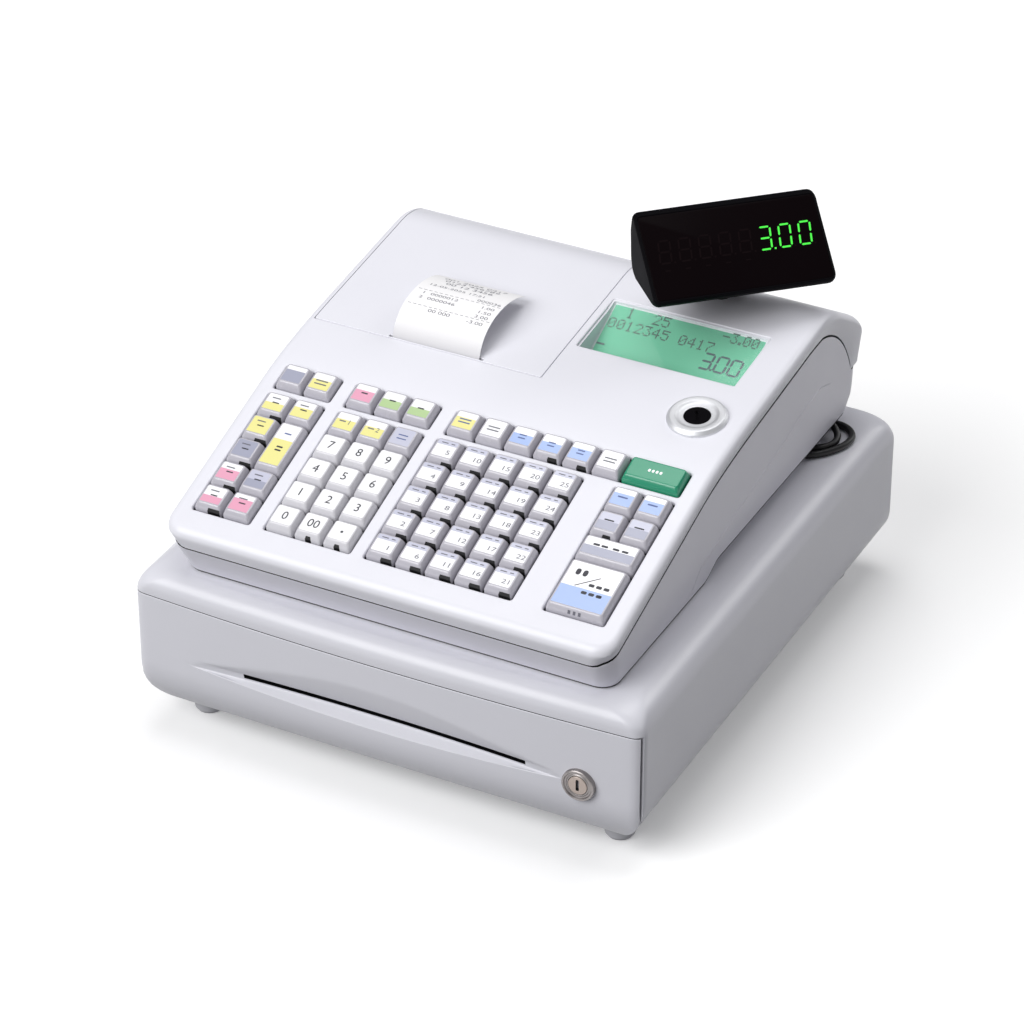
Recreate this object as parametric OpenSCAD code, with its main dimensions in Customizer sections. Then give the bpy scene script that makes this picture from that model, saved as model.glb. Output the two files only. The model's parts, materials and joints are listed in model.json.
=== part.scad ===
// Ticket register: a keyboard and printer unit standing on its cash drawer cabinet.
// Millimetres. X to the right, Y to the back, Z up. The pieces are drawn with Y = 0 at the
// drawer front's edge, and place() moves them so that the origin is in the middle of the
// footprint, on the plane that the feet stand on.

/* [Cabinet] */
// Width of the drawer cabinet
cab_w = 330; // [326:1:334]
// Depth of the drawer cabinet, without the bow of the front
cab_d = 363.6; // [362:0.2:372]
// Height of the cabinet's top above the table
cab_h = 109.6; // [109.6:0.2:110]
// Height of the seam between the top cover and the drawer front
seam_z = 94.9; // [94:0.1:96]
// How far the drawer front bows out in the middle
bow = 4.4; // [2:0.1:5]
// Wall of the moulded cabinet shell
cab_wall = 2.6; // [2:0.1:2.8]

/* [Drawer] */
// Half width of the drawer tray
tray_hw = 141; // [140.5:0.1:141.2]
// Height of the tray's floor
tray_z = 20; // [19:0.5:21]
// Thickness of the tray's sheet metal
tray_t = 1.5; // [1:0.1:1.6]
// Number of note compartments
bill_n = 4; // [4:1:4]
// Number of coin cups
coin_n = 5; // [4:1:6]
// Radius of the drawer rollers
roller_r = 8; // [7.5:0.1:8]

/* [Register body] */
// Half width of the case at its seam
body_hw = 144; // [143:0.5:145]
// Half width of the case where it stands on the cabinet
foot_hw = 138; // [137:0.5:139]
// Slope of the keyboard, rise over run
kb_s = 0.323; // [0.32:0.001:0.326]
// Height of the keyboard plane at Y = 0
kb_z = 145; // [144.6:0.1:145.4]
// Wall of the case
case_t = 2.6; // [2.2:0.1:2.8]

/* [Keys] */
// Distance between key columns
px = 18.7; // [18.6:0.05:18.8]
// Distance between key rows
py = 19; // [18.9:0.05:19.1]
// Height of a key cap above the case
key_h = 3.6; // [3:0.1:4.5]

/* [Printer] */
// Width of the paper
paper_w = 58; // [57:0.5:58]
// Radius of the paper roll
roll_r = 33; // [20:1:34]
// Teeth of the platen's gear
platen_teeth = 24; // [24:1:24]
// Teeth of the motor's pinion
pinion_teeth = 12; // [12:1:12]

/* [Customer display] */
// How far the display head is turned from the front
head_turn = 43.3; // [0:0.1:90]
// How far the display's face leans back
head_lean = 51.7; // [45:0.1:55]
// Width of the display head
head_w = 113; // [110:1:116]

/* [Hidden] */
$fn = 48;
hw = cab_w / 2;
floor_z = 10;
r_side = 38;
r_top = 16;
r_edge = 11;

module place() translate([0, -(cab_d - bow) / 2, 0]) children();
screw_at = [[-100, 60], [100, 60], [-100, 200], [100, 200]];

// ---------- outlines ----------
function arc(cx, cy, r, a0, a1, n = 8) = [for (i = [0:n]) let (a = a0 + (a1 - a0) * i / n) [cx + r * cos(a), cy + r * sin(a)]];
// rectangle with four corner radii: low left, low right, high right, high left
function rr(x0, y0, x1, y1, a, b, c, d, n = 8) = concat(
  arc(x0 + a, y0 + a, a, 180, 270, n), arc(x1 - b, y0 + b, b, 270, 360, n),
  arc(x1 - c, y1 - c, c, 0, 90, n), arc(x0 + d, y1 - d, d, 90, 180, n));
// plan outline with a bowed front
function plan(w, y0, y1, b, rf, rb) = concat(
  arc(-w + rf, y0 + rf, rf, 180, 262, 6),
  [for (i = [0:24]) let (t = -1 + i / 12) [t * (w - rf * 1.1), y0 - b * (1 - t * t)]],
  arc(w - rf, y0 + rf, rf, 278, 360, 6),
  arc(w - rb, y1 - rb, rb, 0, 90, 6), arc(-w + rb, y1 - rb, rb, 90, 180, 6));
module along_x(x0, x1) translate([x0, 0, 0]) rotate([90, 0, 90]) linear_extrude(x1 - x0) children();
module along_y(y0, y1) translate([0, y1, 0]) rotate([90, 0, 0]) linear_extrude(y1 - y0) children();
module block(a, b) translate(a) cube(b - a);
module xcyl(x0, x1, y, z, r) translate([x0, y, z]) rotate([0, 90, 0]) cylinder(r = r, h = x1 - x0);
module ycyl(y0, y1, x, z, r) translate([x, y0, z]) rotate([-90, 0, 0]) cylinder(r = r, h = y1 - y0);

// closed solid through rings of equal point counts, each ring counter-clockwise from above
module loft(rings) {
  n = len(rings[0]);
  m = len(rings);
  polyhedron(
    points = [for (r = rings) for (p = r) p],
    faces = concat([[for (j = [0:n - 1]) j]], [[for (j = [n - 1:-1:0]) (m - 1) * n + j]],
      [for (i = [0:m - 2]) for (j = [0:n - 1]) [i * n + j, (i + 1) * n + j, (i + 1) * n + (j + 1) % n]],
      [for (i = [0:m - 2]) for (j = [0:n - 1]) [i * n + j, (i + 1) * n + (j + 1) % n, i * n + (j + 1) % n]]),
    convexity = 4);
}

// ---------- cabinet ----------
module cab_solid(o = 0) {
  intersection() {
    translate([0, 0, floor_z - 1]) linear_extrude(cab_h) polygon(plan(hw - o, o, cab_d - o, bow, max(8 - o, 2), 8 - o));
    along_y(-10, cab_d + 10) polygon(rr(-hw + o, floor_z + o, hw - o, cab_h - o, r_side - o, r_side - o, r_top - o, r_top - o, 10));
    along_x(-hw - 1, hw + 1) polygon(rr(-bow + o, floor_z + o, cab_d - o, cab_h - o, r_side - o, 20, 8 - o * 0.5, r_edge - o, 10));
  }
}
module cabinet_shell() color("gainsboro") {
  difference() {
    cab_solid();
    cab_solid(cab_wall);
    block([-hw - 1, -20, -1], [hw + 1, 4.4, seam_z]);
    block([-hw - 1, -20, -1], [hw + 1, 14.4, 34.4]);
    block([-hw - 1, -20, -1], [hw + 1, cab_d + 1, 22]);
    block([-hw + cab_wall + 0.3, -20, -1], [hw - cab_wall - 0.3, 30, seam_z]);
    for (p = screw_at) translate([p[0], p[1], 100]) cylinder(r = 1.6, h = 20);
  }
}
rail_x = 149;
module cabinet_base() color("slategray") {
  difference() {
    cab_solid();
    cab_solid(2.2);
    block([-hw - 1, -20, -1], [hw + 1, 14.6, 200]);
    block([-hw - 1, -20, 22], [hw + 1, cab_d + 1, 200]);
  }
  for (s = [-1, 1]) {
    // rail web with a foot on the pan, and the roller's stub axle
    block([s > 0 ? rail_x : -rail_x - 1.5, 26, 19], [s > 0 ? rail_x + 1.5 : -rail_x, 346, 66]);
    xcyl(s > 0 ? 142.6 : -rail_x - 0.5, s > 0 ? rail_x + 0.5 : -142.6, 36, 50, 3);
    xcyl(s > 0 ? 142 : -142.8, s > 0 ? 142.8 : -142, 36, 50, 4.2);
    // lock tab
    if (s > 0) block([145.2, 9.5, 44], [150.5, 13, 57.5]);
    if (s > 0) block([rail_x, 9.5, 44], [150.5, 27, 57.5]);
  }
  // ears for the latch lever and its pin
  for (x = [-12, 9.5]) difference() {
    block([x, 342, 11.5], [x + 2.5, 357, 36]);
    xcyl(x - 1, x + 4, 350, 29, 2);
  }
  xcyl(-12.5, 12.5, 350, 29, 2);
}
module foot_at(x, y) translate([x, y, 0]) {
  cylinder(r1 = 7.6, r2 = 9, h = 2);
  translate([0, 0, 2]) cylinder(r = 9, h = 6.5);
  translate([0, 0, 8.5]) cylinder(r = 4, h = 7);
}
module cabinet_feet() color("dimgray") for (x = [-hw + 28.6, hw - 28.6], y = [33.6, 334]) foot_at(x, y);
module roller(s) difference() {
  union() {
    xcyl(s > 0 ? 143 : -148.6, s > 0 ? 148.6 : -143, 36, 50, roller_r);
  }
  xcyl(s > 0 ? 142 : -150, s > 0 ? 150 : -142, 36, 50, 3.06);
  // light holes show the roller turning
  for (a = [0:90:270]) translate([0, 36 + 5.4 * cos(a), 50 + 5.4 * sin(a)]) xcyl(s > 0 ? 142 : -150, s > 0 ? 150 : -142, 0, 0, 1.1);
}
module roller_left() color("white") roller(-1);
module roller_right() color("white") roller(1);

// ---------- drawer ----------
tray_y0 = 4;
tray_y1 = 320;
tray_top = 88;
module drawer_tray() color("silver") {
  difference() {
    // sheet folded from a blank, its lower front edge chamfered over the curve of the drawer front
    along_x(-tray_hw, tray_hw) polygon([[tray_y0, 31], [tray_y0 + 10, tray_z], [tray_y1, tray_z], [tray_y1, tray_top], [tray_y0, tray_top]]);
    along_x(-tray_hw + tray_t, tray_hw - tray_t) polygon([[tray_y0 + tray_t, 31.6], [tray_y0 + 10.7, tray_z + tray_t], [tray_y1 - tray_t, tray_z + tray_t],
      [tray_y1 - tray_t, tray_top + 1], [tray_y0 + tray_t, tray_top + 1]]);
    // mouth of the media slot, hole for the lock, window for its cam
    block([-95, tray_y0 - 1, 53], [97, tray_y0 + 3, 62]);
    ycyl(tray_y0 - 1, tray_y0 + 3, 127.2, 54.5, 9.7);
    block([tray_hw - 3, 15.4, 30], [tray_hw + 1, 20.2, 60.6]);
  }
  for (s = [-1, 1]) {
    // runner outside, and inside the ledge that the till stands on
    block([s > 0 ? tray_hw - 0.1 : -148.2, 24, roller_r + 50.3], [s > 0 ? 148.2 : -tray_hw + 0.1, tray_y1 - 4, roller_r + 51.8]);
    block([s > 0 ? 134.5 : -tray_hw + 0.5, 24, till_z0 - 1.5], [s > 0 ? tray_hw - 0.5 : -134.5, 302, till_z0]);
  }
  // striker plate with its window
  difference() {
    block([-14, tray_y1 - 0.1, 40], [14, 338, 42]);
    block([-8, 322.5, 39], [8, 335, 43]);
  }
}
scoop_r = 1860;
module drawer_front() color("gainsboro") difference() {
  intersection() {
    cab_solid();
    union() {
      block([-hw - 1, -20, 0], [hw + 1, 4, seam_z - 0.5]);
      block([-hw - 1, -20, 0], [hw + 1, 14, 34]);
    }
  }
  // hollow behind the lower lip
  difference() {
    cab_solid(2.8);
    block([-hw, -20, 34 - 2.6], [hw, 4, 200]);
    block([-hw, -20, 0], [hw, 1.4, 200]);
  }
  // long finger scoop: deep in the middle, running out at both ends
  translate([-8, 2.4 - scoop_r, 0]) rotate([0, 0, 84]) rotate_extrude(angle = 12, $fn = 900)
    polygon(concat([[scoop_r - 20, 39.5]], arc(scoop_r - 0.85, 54.85, 0.65, -51, 0, 3), bez([scoop_r - 0.9, 58.75], [scoop_r - 4.2, 63.5], [scoop_r - 7.6, 80], 8), [[scoop_r - 20, 80]]));
  // media slot and lock hole
  block([-91, -10, 55.8], [93, 10, 58.8]);
  ycyl(-10, 10, 127.2, 54.5, 9.5);
  ycyl(-10, -1, 127.2, 54.5, 10.7);
}
till_hw = 138.6;
till_y0 = 26;
till_y1 = 300;
till_z0 = 36;
till_z1 = 84;
rib = 1.8;
bill_w = (2 * till_hw - rib * (bill_n + 1)) / bill_n;
coin_w = (2 * till_hw - rib * (coin_n + 1)) / coin_n;
function bill_x(i) = -till_hw + rib + i * (bill_w + rib);
function coin_x(i) = -till_hw + rib + i * (coin_w + rib);
coin_y = 68;
bill_y0 = 110;
bill_y1 = 291;
module till_insert() color("dimgray") difference() {
  block([-till_hw, till_y0, till_z0], [till_hw, till_y1, till_z1]);
  for (i = [0:bill_n - 1]) block([bill_x(i), bill_y0, till_z0 + 2], [bill_x(i) + bill_w, bill_y1, till_z1 + 1]);
  for (i = [0:coin_n - 1]) xcyl(coin_x(i), coin_x(i) + coin_w, coin_y, till_z1 + 1, 39);
  // underside under the cups, and the trough for the clips' rod
  block([-till_hw + rib, till_y0 + 3, till_z0 - 1], [till_hw - rib, bill_y0 - 3, till_z0 + 7]);
  xcyl(-till_hw - 1, till_hw + 1, 284, 72, 2);
}
module clip_rod() color("silver") xcyl(-till_hw, till_hw, 284, 72, 2);
module bill_clip(i) color("dimgray") {
  x = bill_x(i) + bill_w / 2;
  difference() {
    union() {
      xcyl(x - 10, x + 10, 284, 72, 4.4);
      along_x(x - 7, x + 7) polygon([[284, 76.2], [279, 75.6], [236, 50], [228, 41.5], [221, 41.5], [221, 43.5], [227, 43.8], [234, 53.2], [274, 79], [284, 76.4]]);
    }
    xcyl(x - 11, x + 11, 284, 72, 2.06);
  }
}
module bill_clip_1() bill_clip(0);
module bill_clip_2() bill_clip(1);
module bill_clip_3() bill_clip(2);
module bill_clip_4() bill_clip(3);
module lock_barrel() color("silver") difference() {
  union() {
    ycyl(-3.6, 16, 127.2, 54.5, 9.5);
    ycyl(-4.4, -1, 127.2, 54.5, 10.6);
  }
  ycyl(-6, 18, 127.2, 54.5, 6.05);
}
module lock_plug() color("darkgray") {
  difference() {
    ycyl(-4.2, 16.4, 127.2, 54.5, 6);
    block([126.6, -6, 51], [127.8, 6, 58.4]);
    ycyl(-6, 3, 127.2, 54.5, 1.3);
  }
  difference() {
    union() {
      ycyl(16.4, 18.9, 127.2, 54.5, 6.5);
      block([122.7, 16.4, 34], [131.7, 18.9, 54.5]);
    }
    ycyl(15, 20, 127.2, 54.5, 1.5);
  }
}
module latch_solenoid() color("peru") {
  for (x = [20, 44]) along_x(x, x + 2) polygon([[336, 12.2], [341.2, 12.2], [348, 13.8], [354, 17.6], [357, 21.5], [357.6, 24], [357.6, 38], [336, 38]]);
  xcyl(22, 44, 347, 26, 10);
  difference() {
    xcyl(13.2, 20, 347, 26, 3);
    xcyl(12, 16, 347, 26, 1);
  }
}
module latch_lever() color("silver") difference() {
  union() {
    xcyl(-7, 7, 350, 29, 5);
    along_x(-5, 5) polygon([[350, 24.2], [324, 31], [326, 39], [331.5, 38.2], [332, 34], [350, 33.8]]);
  }
  xcyl(-8, 8, 350, 29, 2.06);
}

// ---------- register body ----------
// side outline of the top surface, front to back, as [y, z]
function kz(y) = kb_z + kb_s * y;
top_line = concat([[2.2, kz(2.2) - 0.6], [4.5, kz(4.5)], [60, kz(60)]], bez([125, kz(125)], [147.6, kz(147.6) - 0.2], [195, 198.2], 8),
  bez([284, 208.6], [301, 210.6], [316, 200.6], 6), bez([334, 189.4], [353, 177.5], [357.5, 158], 6), [[357, 150]]);
// seam between the two halves of the case
seam_line = concat([[3.8, 132.2], [6.5, 134.6], [20, kz(20) - 12.6], [60, kz(60) - 12.6]], bez([125, kz(125) - 12.4], [147.6, kz(147.6) - 12.6], [195, 186]),
  [[275, 195.4]], bez([290, 196], [318, 190], [334, 158], 8), [[337, 150]]);
function bez(a, b, c, n = 8) = [for (i = [0:n]) let (t = i / n) a * (1 - t) * (1 - t) + b * 2 * t * (1 - t) + c * t * t];
function rev(v) = [for (i = [len(v) - 1:-1:0]) v[i]];
function shift(v, dy, dz) = [for (p = v) [p[0] + dy, p[1] + dz]];
bot_z = cab_h;
// outer solid of the whole case, narrowing towards the cabinet
module case_plan(w, y0, y1, r) polygon(concat(arc(-w + r, y0 + r, r, 180, 270, 6), arc(w - r, y0 + r, r, 270, 360, 6), arc(w - r, y1 - r, r, 0, 90, 6), arc(-w + r, y1 - r, r, 90, 180, 6)));
module upper_solid(o = 0) intersection() {
  along_x(-body_hw + o, body_hw - o) polygon(concat([[0.9 + o, kz(0) - 2], [3.8 + o, 100]], [[340, 100], [357.5 - o, 140]], rev(shift(top_line, 0, -o)) ));
  translate([0, 0, 90]) linear_extrude(140) case_plan(body_hw - o, 0.9 + o, 357.6 - o, 13 - o);
}
module lower_solid(o = 0) intersection() {
  hull() {
    translate([0, 0, bot_z + o]) linear_extrude(0.01) case_plan(foot_hw - o, 16 + o, 340 - o, 11 - o);
    translate([0, 0, 132.2]) linear_extrude(0.01) case_plan(body_hw - o, 3.8 + o, 350 - o, 13 - o);
    translate([0, 0, 215]) linear_extrude(0.01) case_plan(body_hw - o, 3.8 + o, 357.6 - o, 13 - o);
  }
  union() {
    // stands on the cabinet in front, and on a narrower plinth behind
    along_x(-200, 200) polygon([[0, bot_z + o], [140 - o, bot_z + o], [152, 119 + o], [400, 119 + o], [400, 260], [0, 260]]);
    block([-116 + o, 100, bot_z + o], [116 - o, 330 - o, 125]);
  }
}
module below(line) along_x(-200, 200) polygon(concat([[line[0][0] - 20, line[0][1] - 1.5]], line, [[line[len(line) - 1][0] + 50, line[len(line) - 1][1] - 0.5], [410, 60], [-20, 60]]));
module lower_case() color("gainsboro") difference() {
  intersection() {
    lower_solid();
    below(shift(seam_line, 0, -0.25));
  }
  lower_solid(case_t);
  // holes for the cable in the plinth's side, and the inlet in the back
  xcyl(110, 120, 286, 114.6, 2.9);
  xcyl(110, 120, 322, 115.6, 2.9);
  block([92, 320, 126], [120, 380, 146]);
  for (p = screw_at) translate([p[0], p[1], 100]) cylinder(r = 1.6, h = 20);
}
cover_x = 13.3;
cover_y0 = 174.2;
cover_y1 = 309;
module upper_shell() difference() {
  upper_solid();
  upper_solid(case_t);
  below(shift(seam_line, 0, 0.25));
}
module kb() translate([0, 0, kb_z]) rotate([atan(kb_s), 0, 0]) children();
row0 = 28.4;
colB = -122.8;
colD = -75.6;
colE = -9.0;
colF = -10.4;
colG = 103.4;
function well_x0(c) = c - px / 2 - 0.4;
module well(x0, x1, u0, u1) translate([x0, u0, -12]) linear_extrude(20) polygon(rr(0, 0, x1 - x0, u1 - u0, 1, 1, 1, 1, 2));
module wells() kb() {
  well(colB - 9.8, colB + px + 9.8, row0 - 9.9, row0 + 4 * py + 9.7);
  well(colB - 9.8, colB + px + 9.8, row0 + 5.24 * py - 9.7, row0 + 5.24 * py + 9.4);
  well(colD - 9.8, colD + 2 * px + 9.8, row0 - 9.9, row0 + 4 * py + 9.7);
  well(colD - 9.8, colD + 2 * px + 9.8, row0 + 5.24 * py - 9.7, row0 + 5.24 * py + 9.4);
  well(colF - 9.8, colF + 4 * px + 10.2, row0 - 9.9, row0 + 4 * py + 9.7);
  well(colE - 9.8, colG + px + 9.8, row0 + 5.24 * py - 9.7, row0 + 5.24 * py + 9.4);
  well(colG - 9.8, colG + px + 9.8, row0 - 9.9, row0 + 4 * py + 9.7);
}
lcd_x0 = 18.6;
lcd_x1 = 121.2;
lcd_y0 = 210;
lcd_y1 = 260.6;
function pz(y) = 175.4 + 0.117 * y;
mode_c = [114, 174.5, 195.3];
mode_tilt = 8.3;
pole_c = [74.5, 291];
hinge = [306.5, 202.6]; // y, z of the cover's pivot
module upper_case() color("whitesmoke") difference() {
  union() {
    upper_shell();
    // bosses beside the printer bay carry the cover's trunnions
    block([-141.6, 302, 195], [-139.1, 312, 203.6]);
    block([14, 302, 197], [18, 311.5, 204]);
  }
  wells();
  // printer bay, display well, lock, display pole
  block([-139, cover_y0 - 0.4, 165], [cover_x + 0.4, cover_y1 + 1.2, 240]);
  block([lcd_x0 - 0.1, lcd_y0 - 0.1, 150], [lcd_x1 + 0.1, lcd_y1 + 0.1, 240]);
  translate(mode_c) rotate([mode_tilt, 0, 0]) cylinder(r = 12, h = 60, center = true);
  translate(mode_c) rotate([mode_tilt, 0, 0]) translate([0, 0, -0.3]) cylinder(r = 18.1, h = 10);
  translate([pole_c[0], pole_c[1], 150]) cylinder(r = 7.1, h = 80);
  // bores of the cover's hinge
  xcyl(-141.2, -138, hinge[0], hinge[1], 2);
  xcyl(13, 17.4, hinge[0], hinge[1], 2);
}
module printer_cover() color("whitesmoke") difference() {
  union() {
    intersection() {
      upper_shell();
      block([-138.6, cover_y0, 165], [cover_x, cover_y1, 240]);
    }
    // hinge arms with their trunnions
    for (x = [-138.4, cover_x - 4.2]) {
      along_x(x, x + 4) polygon([[290, 207.6], [300, 206.6], [308.6, 203.6], [308.8, 201], [306.5, 199.6], [303, 200.4], [296, 204]]);
    }
    xcyl(-141, -135, hinge[0], hinge[1], 1.94);
    xcyl(cover_x - 3.6, 17, hinge[0], hinge[1], 1.94);
    // tear bar over the slot
    along_x(-88.5, -25.5) polygon([[177.6, 190.6], [180.4, 190.6], [180.4, 194], [177.6, 194]]);
  }
  block([-88.5, cover_y0 - 1, 180], [-25.5, cover_y0 + 2.6, 240]);
}
// tilted display well: deep at its front edge
lcd_a = 24.6;
function lz(y) = 204.4 - (260.6 - y) * tan(lcd_a);
module display_bezel() color("whitesmoke") difference() {
  along_x(lcd_x0, lcd_x1) polygon([[lcd_y0, pz(lcd_y0)], [lcd_y0, lz(lcd_y0) - 2.4], [lcd_y1, lz(lcd_y1) - 2.4], [lcd_y1, pz(lcd_y1)]]);
  along_x(lcd_x0 + 1.2, lcd_x1 - 1.2) polygon([[lcd_y0 + 1.6, pz(lcd_y0) + 3], [lcd_y0 + 4.6, lz(lcd_y0 + 4.6) - 0.1], [lcd_y1 - 1, lz(lcd_y1 - 1) - 0.1], [lcd_y1 - 1, pz(lcd_y1) + 3]]);
  along_x(lcd_x0 + 4, lcd_x1 - 4) polygon([[lcd_y0 + 7, lz(lcd_y0 + 7) + 1], [lcd_y0 + 7, lz(lcd_y0 + 7) - 6], [lcd_y1 - 3, lz(lcd_y1 - 3) - 6], [lcd_y1 - 3, lz(lcd_y1 - 3) + 1]]);
}
module on_lcd() translate([0, 260.6, 204.4]) rotate([lcd_a, 0, 0]) children();
module lcd_window() color("mediumaquamarine") on_lcd() block([lcd_x0 + 1.4, -49.8, -0.05], [lcd_x1 - 1.4, -1.2, 1.1]);
module lcd_panel() color("seagreen") on_lcd() block([lcd_x0 + 3, -50, -6.4], [lcd_x1 - 3, -2, -2.4 * cos(lcd_a) - 0.001]);
module mode_ring() color("silver") translate(mode_c) rotate([mode_tilt, 0, 0]) difference() {
  union() {
    translate([0, 0, -0.3]) rotate_extrude() polygon([[8, 0], [18, 0], [18, 1.6], [16.6, 3], [12.6, 3.6], [10.6, 2.3], [8, 2.1]]);
    translate([0, 0, -9]) cylinder(r = 11.6, h = 10);
  }
  translate([0, 0, -12]) cylinder(r = 8.06, h = 20);
}
module mode_plug() color("dimgray") translate(mode_c) rotate([mode_tilt, 0, 0]) difference() {
  union() {
    translate([0, 0, -11]) cylinder(r = 8, h = 13.1);
    translate([0, 0, -13]) cylinder(r = 9.4, h = 2.4);
    translate([-1.5, 9, -13]) cube([3, 4, 2.4]);
  }
  translate([-0.9, -4.4, -2]) cube([1.8, 8.8, 6]);
  translate([0, 0, -2]) cylinder(r = 1.7, h = 6);
}
// grid places of every key stem, as [x, row]
stems = concat([for (c = [0:2], r = [0:4]) [colD + c * px, r]], [for (c = [0:2]) [colD + c * px, 5.24]],
  [for (c = [0:4], r = [0:4]) [colF + c * px + c * 0.1, r]], [for (r = [0:4]) [colB, r]], [for (r = [0, 1, 4]) [colB + px, r]],
  [[colB + px, 2.5], [colB, 5.24], [colB + px, 5.24]], [for (c = [0:5]) [colE + c * px, 5.24]],
  [for (c = [0, 1], r = [3, 4]) [colG + c * px, r]], [for (r = [0.5, 2, 5.24]) [colG + px / 2, r]]);
module key_bed() color("darkgray") {
  kb() difference() {
    block([-136, 15, -9], [136, 139, -7]);
    for (s = stems) translate([s[0] - 2.3, row0 + s[1] * py - 2.3, -10]) cube([4.6, 4.6, 4]);
  }
  // legs down to the floor of the case
  for (x = [-128, 128], y = [30, 120]) translate([x, y, cab_h + case_t]) cylinder(r = 3, h = kz(y) - 9.6 - cab_h - case_t + 1);
}
module main_board() color("darkgreen") {
  block([-95, 62, 126], [95, 142, 127.6]);
  for (x = [-90, 90], y = [67, 137]) translate([x, y, cab_h + case_t]) cylinder(r = 3, h = 14);
  for (c = [[-60, 90, 24, 24, 3], [0, 85, 18, 30, 3], [40, 110, 14, 14, 4], [-20, 125, 30, 10, 6]])
    translate([c[0], c[1], 127.6]) cube([c[2], c[3], c[4]]);
}
module power_unit() color("darkslategray") {
  block([28, 200, 112.2], [98, 204, 116]);
  block([34, 206, 112.2], [92, 254, 158]);
  for (y = [200, 254]) block([48, y, 116], [78, y + 6, 152]);
}
module power_inlet() color("black") difference() {
  union() {
    block([92.3, 330, 126.3], [119.7, 352, 145.7]);
    block([94, 322, 129], [118, 331, 143]);
  }
  block([96, 338, 129], [116, 356, 143]);
}
module gear(teeth, m, h, bore) {
  r = teeth * m / 2;
  difference() {
    linear_extrude(h) polygon([for (i = [0:teeth - 1]) for (k = [0:3])
      let (a = 360 / teeth * (i + [0.30, 0.42, 0.58, 0.70][k] - 0.5), q = [r - 1.2 * m, r + 0.85 * m, r + 0.85 * m, r - 1.2 * m][k]) [q * cos(a), q * sin(a)]]);
    if (bore > 0) translate([0, 0, -1]) cylinder(r = bore, h = h + 2);
  }
}
gear_m = 0.7;
platen = [167.2, 180]; // y, z of the platen's axis
gear_c = gear_m * (platen_teeth + pinion_teeth) / 2;
motor = platen - [gear_c * sin(45), gear_c * cos(45)];
module printer_frame() color("gray") {
  for (x = [-93, -23]) difference() {
    along_x(x, x + 2) polygon([[146, 116], [202, 116], [202, 150], [178, 190], [158, 188], [146, 176]]);
    xcyl(x - 1, x + 3, platen[0], platen[1], 3.06);
  }
  block([-93, 146, cab_h + case_t], [-21, 202, 116.1]);
  // shelf and plate that hold the motor
  block([-130, 149, 124], [-92.9, 168, 126]);
  block([-130, 149, 124], [-128, 168, 183]);
  // thermal head behind the platen
  along_x(-91.1, -22.9) polygon([[175, 173], [178.6, 173], [178.6, 188.6], [175, 186]]);
  // cradle of the paper roll
  difference() {
    along_x(-91, -23) polygon([[214, 112.2], [306, 112.2], [306, 140], [214, 140]]);
    xcyl(-89.4, -24.6, 260, 160, 33.6);
    block([-89.4, 200, 128], [-24.6, 320, 150]);
  }
}
module platen_roller() color("dimgray") {
  xcyl(-97.5, -18, platen[0], platen[1], 3);
  xcyl(-88, -27, platen[0], platen[1], 7.4);
  translate([-102, platen[0], platen[1]]) rotate([90, 0, 90]) rotate([0, 0, 45 + 180 / platen_teeth]) gear(platen_teeth, gear_m, 4.6, 0);
}
module drive_motor() color("lightgray") difference() {
  xcyl(-128, -103.5, motor[0], motor[1], 10.5);
  xcyl(-110, -103, motor[0], motor[1], 1.56);
}
module motor_pinion() color("gold") {
  translate([-102, motor[0], motor[1]]) rotate([90, 0, 90]) rotate([0, 0, 45]) gear(pinion_teeth, gear_m, 4.6, 0);
  xcyl(-109, -101, motor[0], motor[1], 1.5);
}
roll_c = [260, 160];
paper_x = -57;
module paper_roll() color("ivory") difference() {
  xcyl(paper_x - paper_w / 2, paper_x + paper_w / 2, roll_c[0], roll_c[1], roll_r);
  xcyl(paper_x - paper_w / 2 - 1, paper_x + paper_w / 2 + 1, roll_c[0], roll_c[1], 6);
}
// strip of paper leaving the slot and curling back over the cover, as a thin swept sheet
paper_in = concat([[175.4, 189]], bez([175.6, 196], [181, 214], [207, 214.4], 8), [for (i = [1:6]) bez([207, 214.4], [222, 214.2], [234, 208], 6)[i]]);
module receipt_paper() color("white") along_x(paper_x - paper_w / 2, paper_x + paper_w / 2)
  polygon(concat(paper_in, rev([for (i = [0:len(paper_in) - 1]) let (a = paper_in[max(i - 1, 0)], b = paper_in[min(i + 1, len(paper_in) - 1)], d = (b - a) / norm(b - a)) paper_in[i] + 0.3 * [d[1], -d[0]]])));

// ---------- customer display ----------
module at_head() translate([pole_c[0], pole_c[1], 0]) rotate([0, 0, head_turn]) children();
// the face plane: along it from its lower edge, and out of it
face_0 = [-46.6, 234.6];
face_h = 58;
function fp(along, out) = face_0 + along * [sin(head_lean), cos(head_lean)] + out * [-cos(head_lean), sin(head_lean)];
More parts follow.
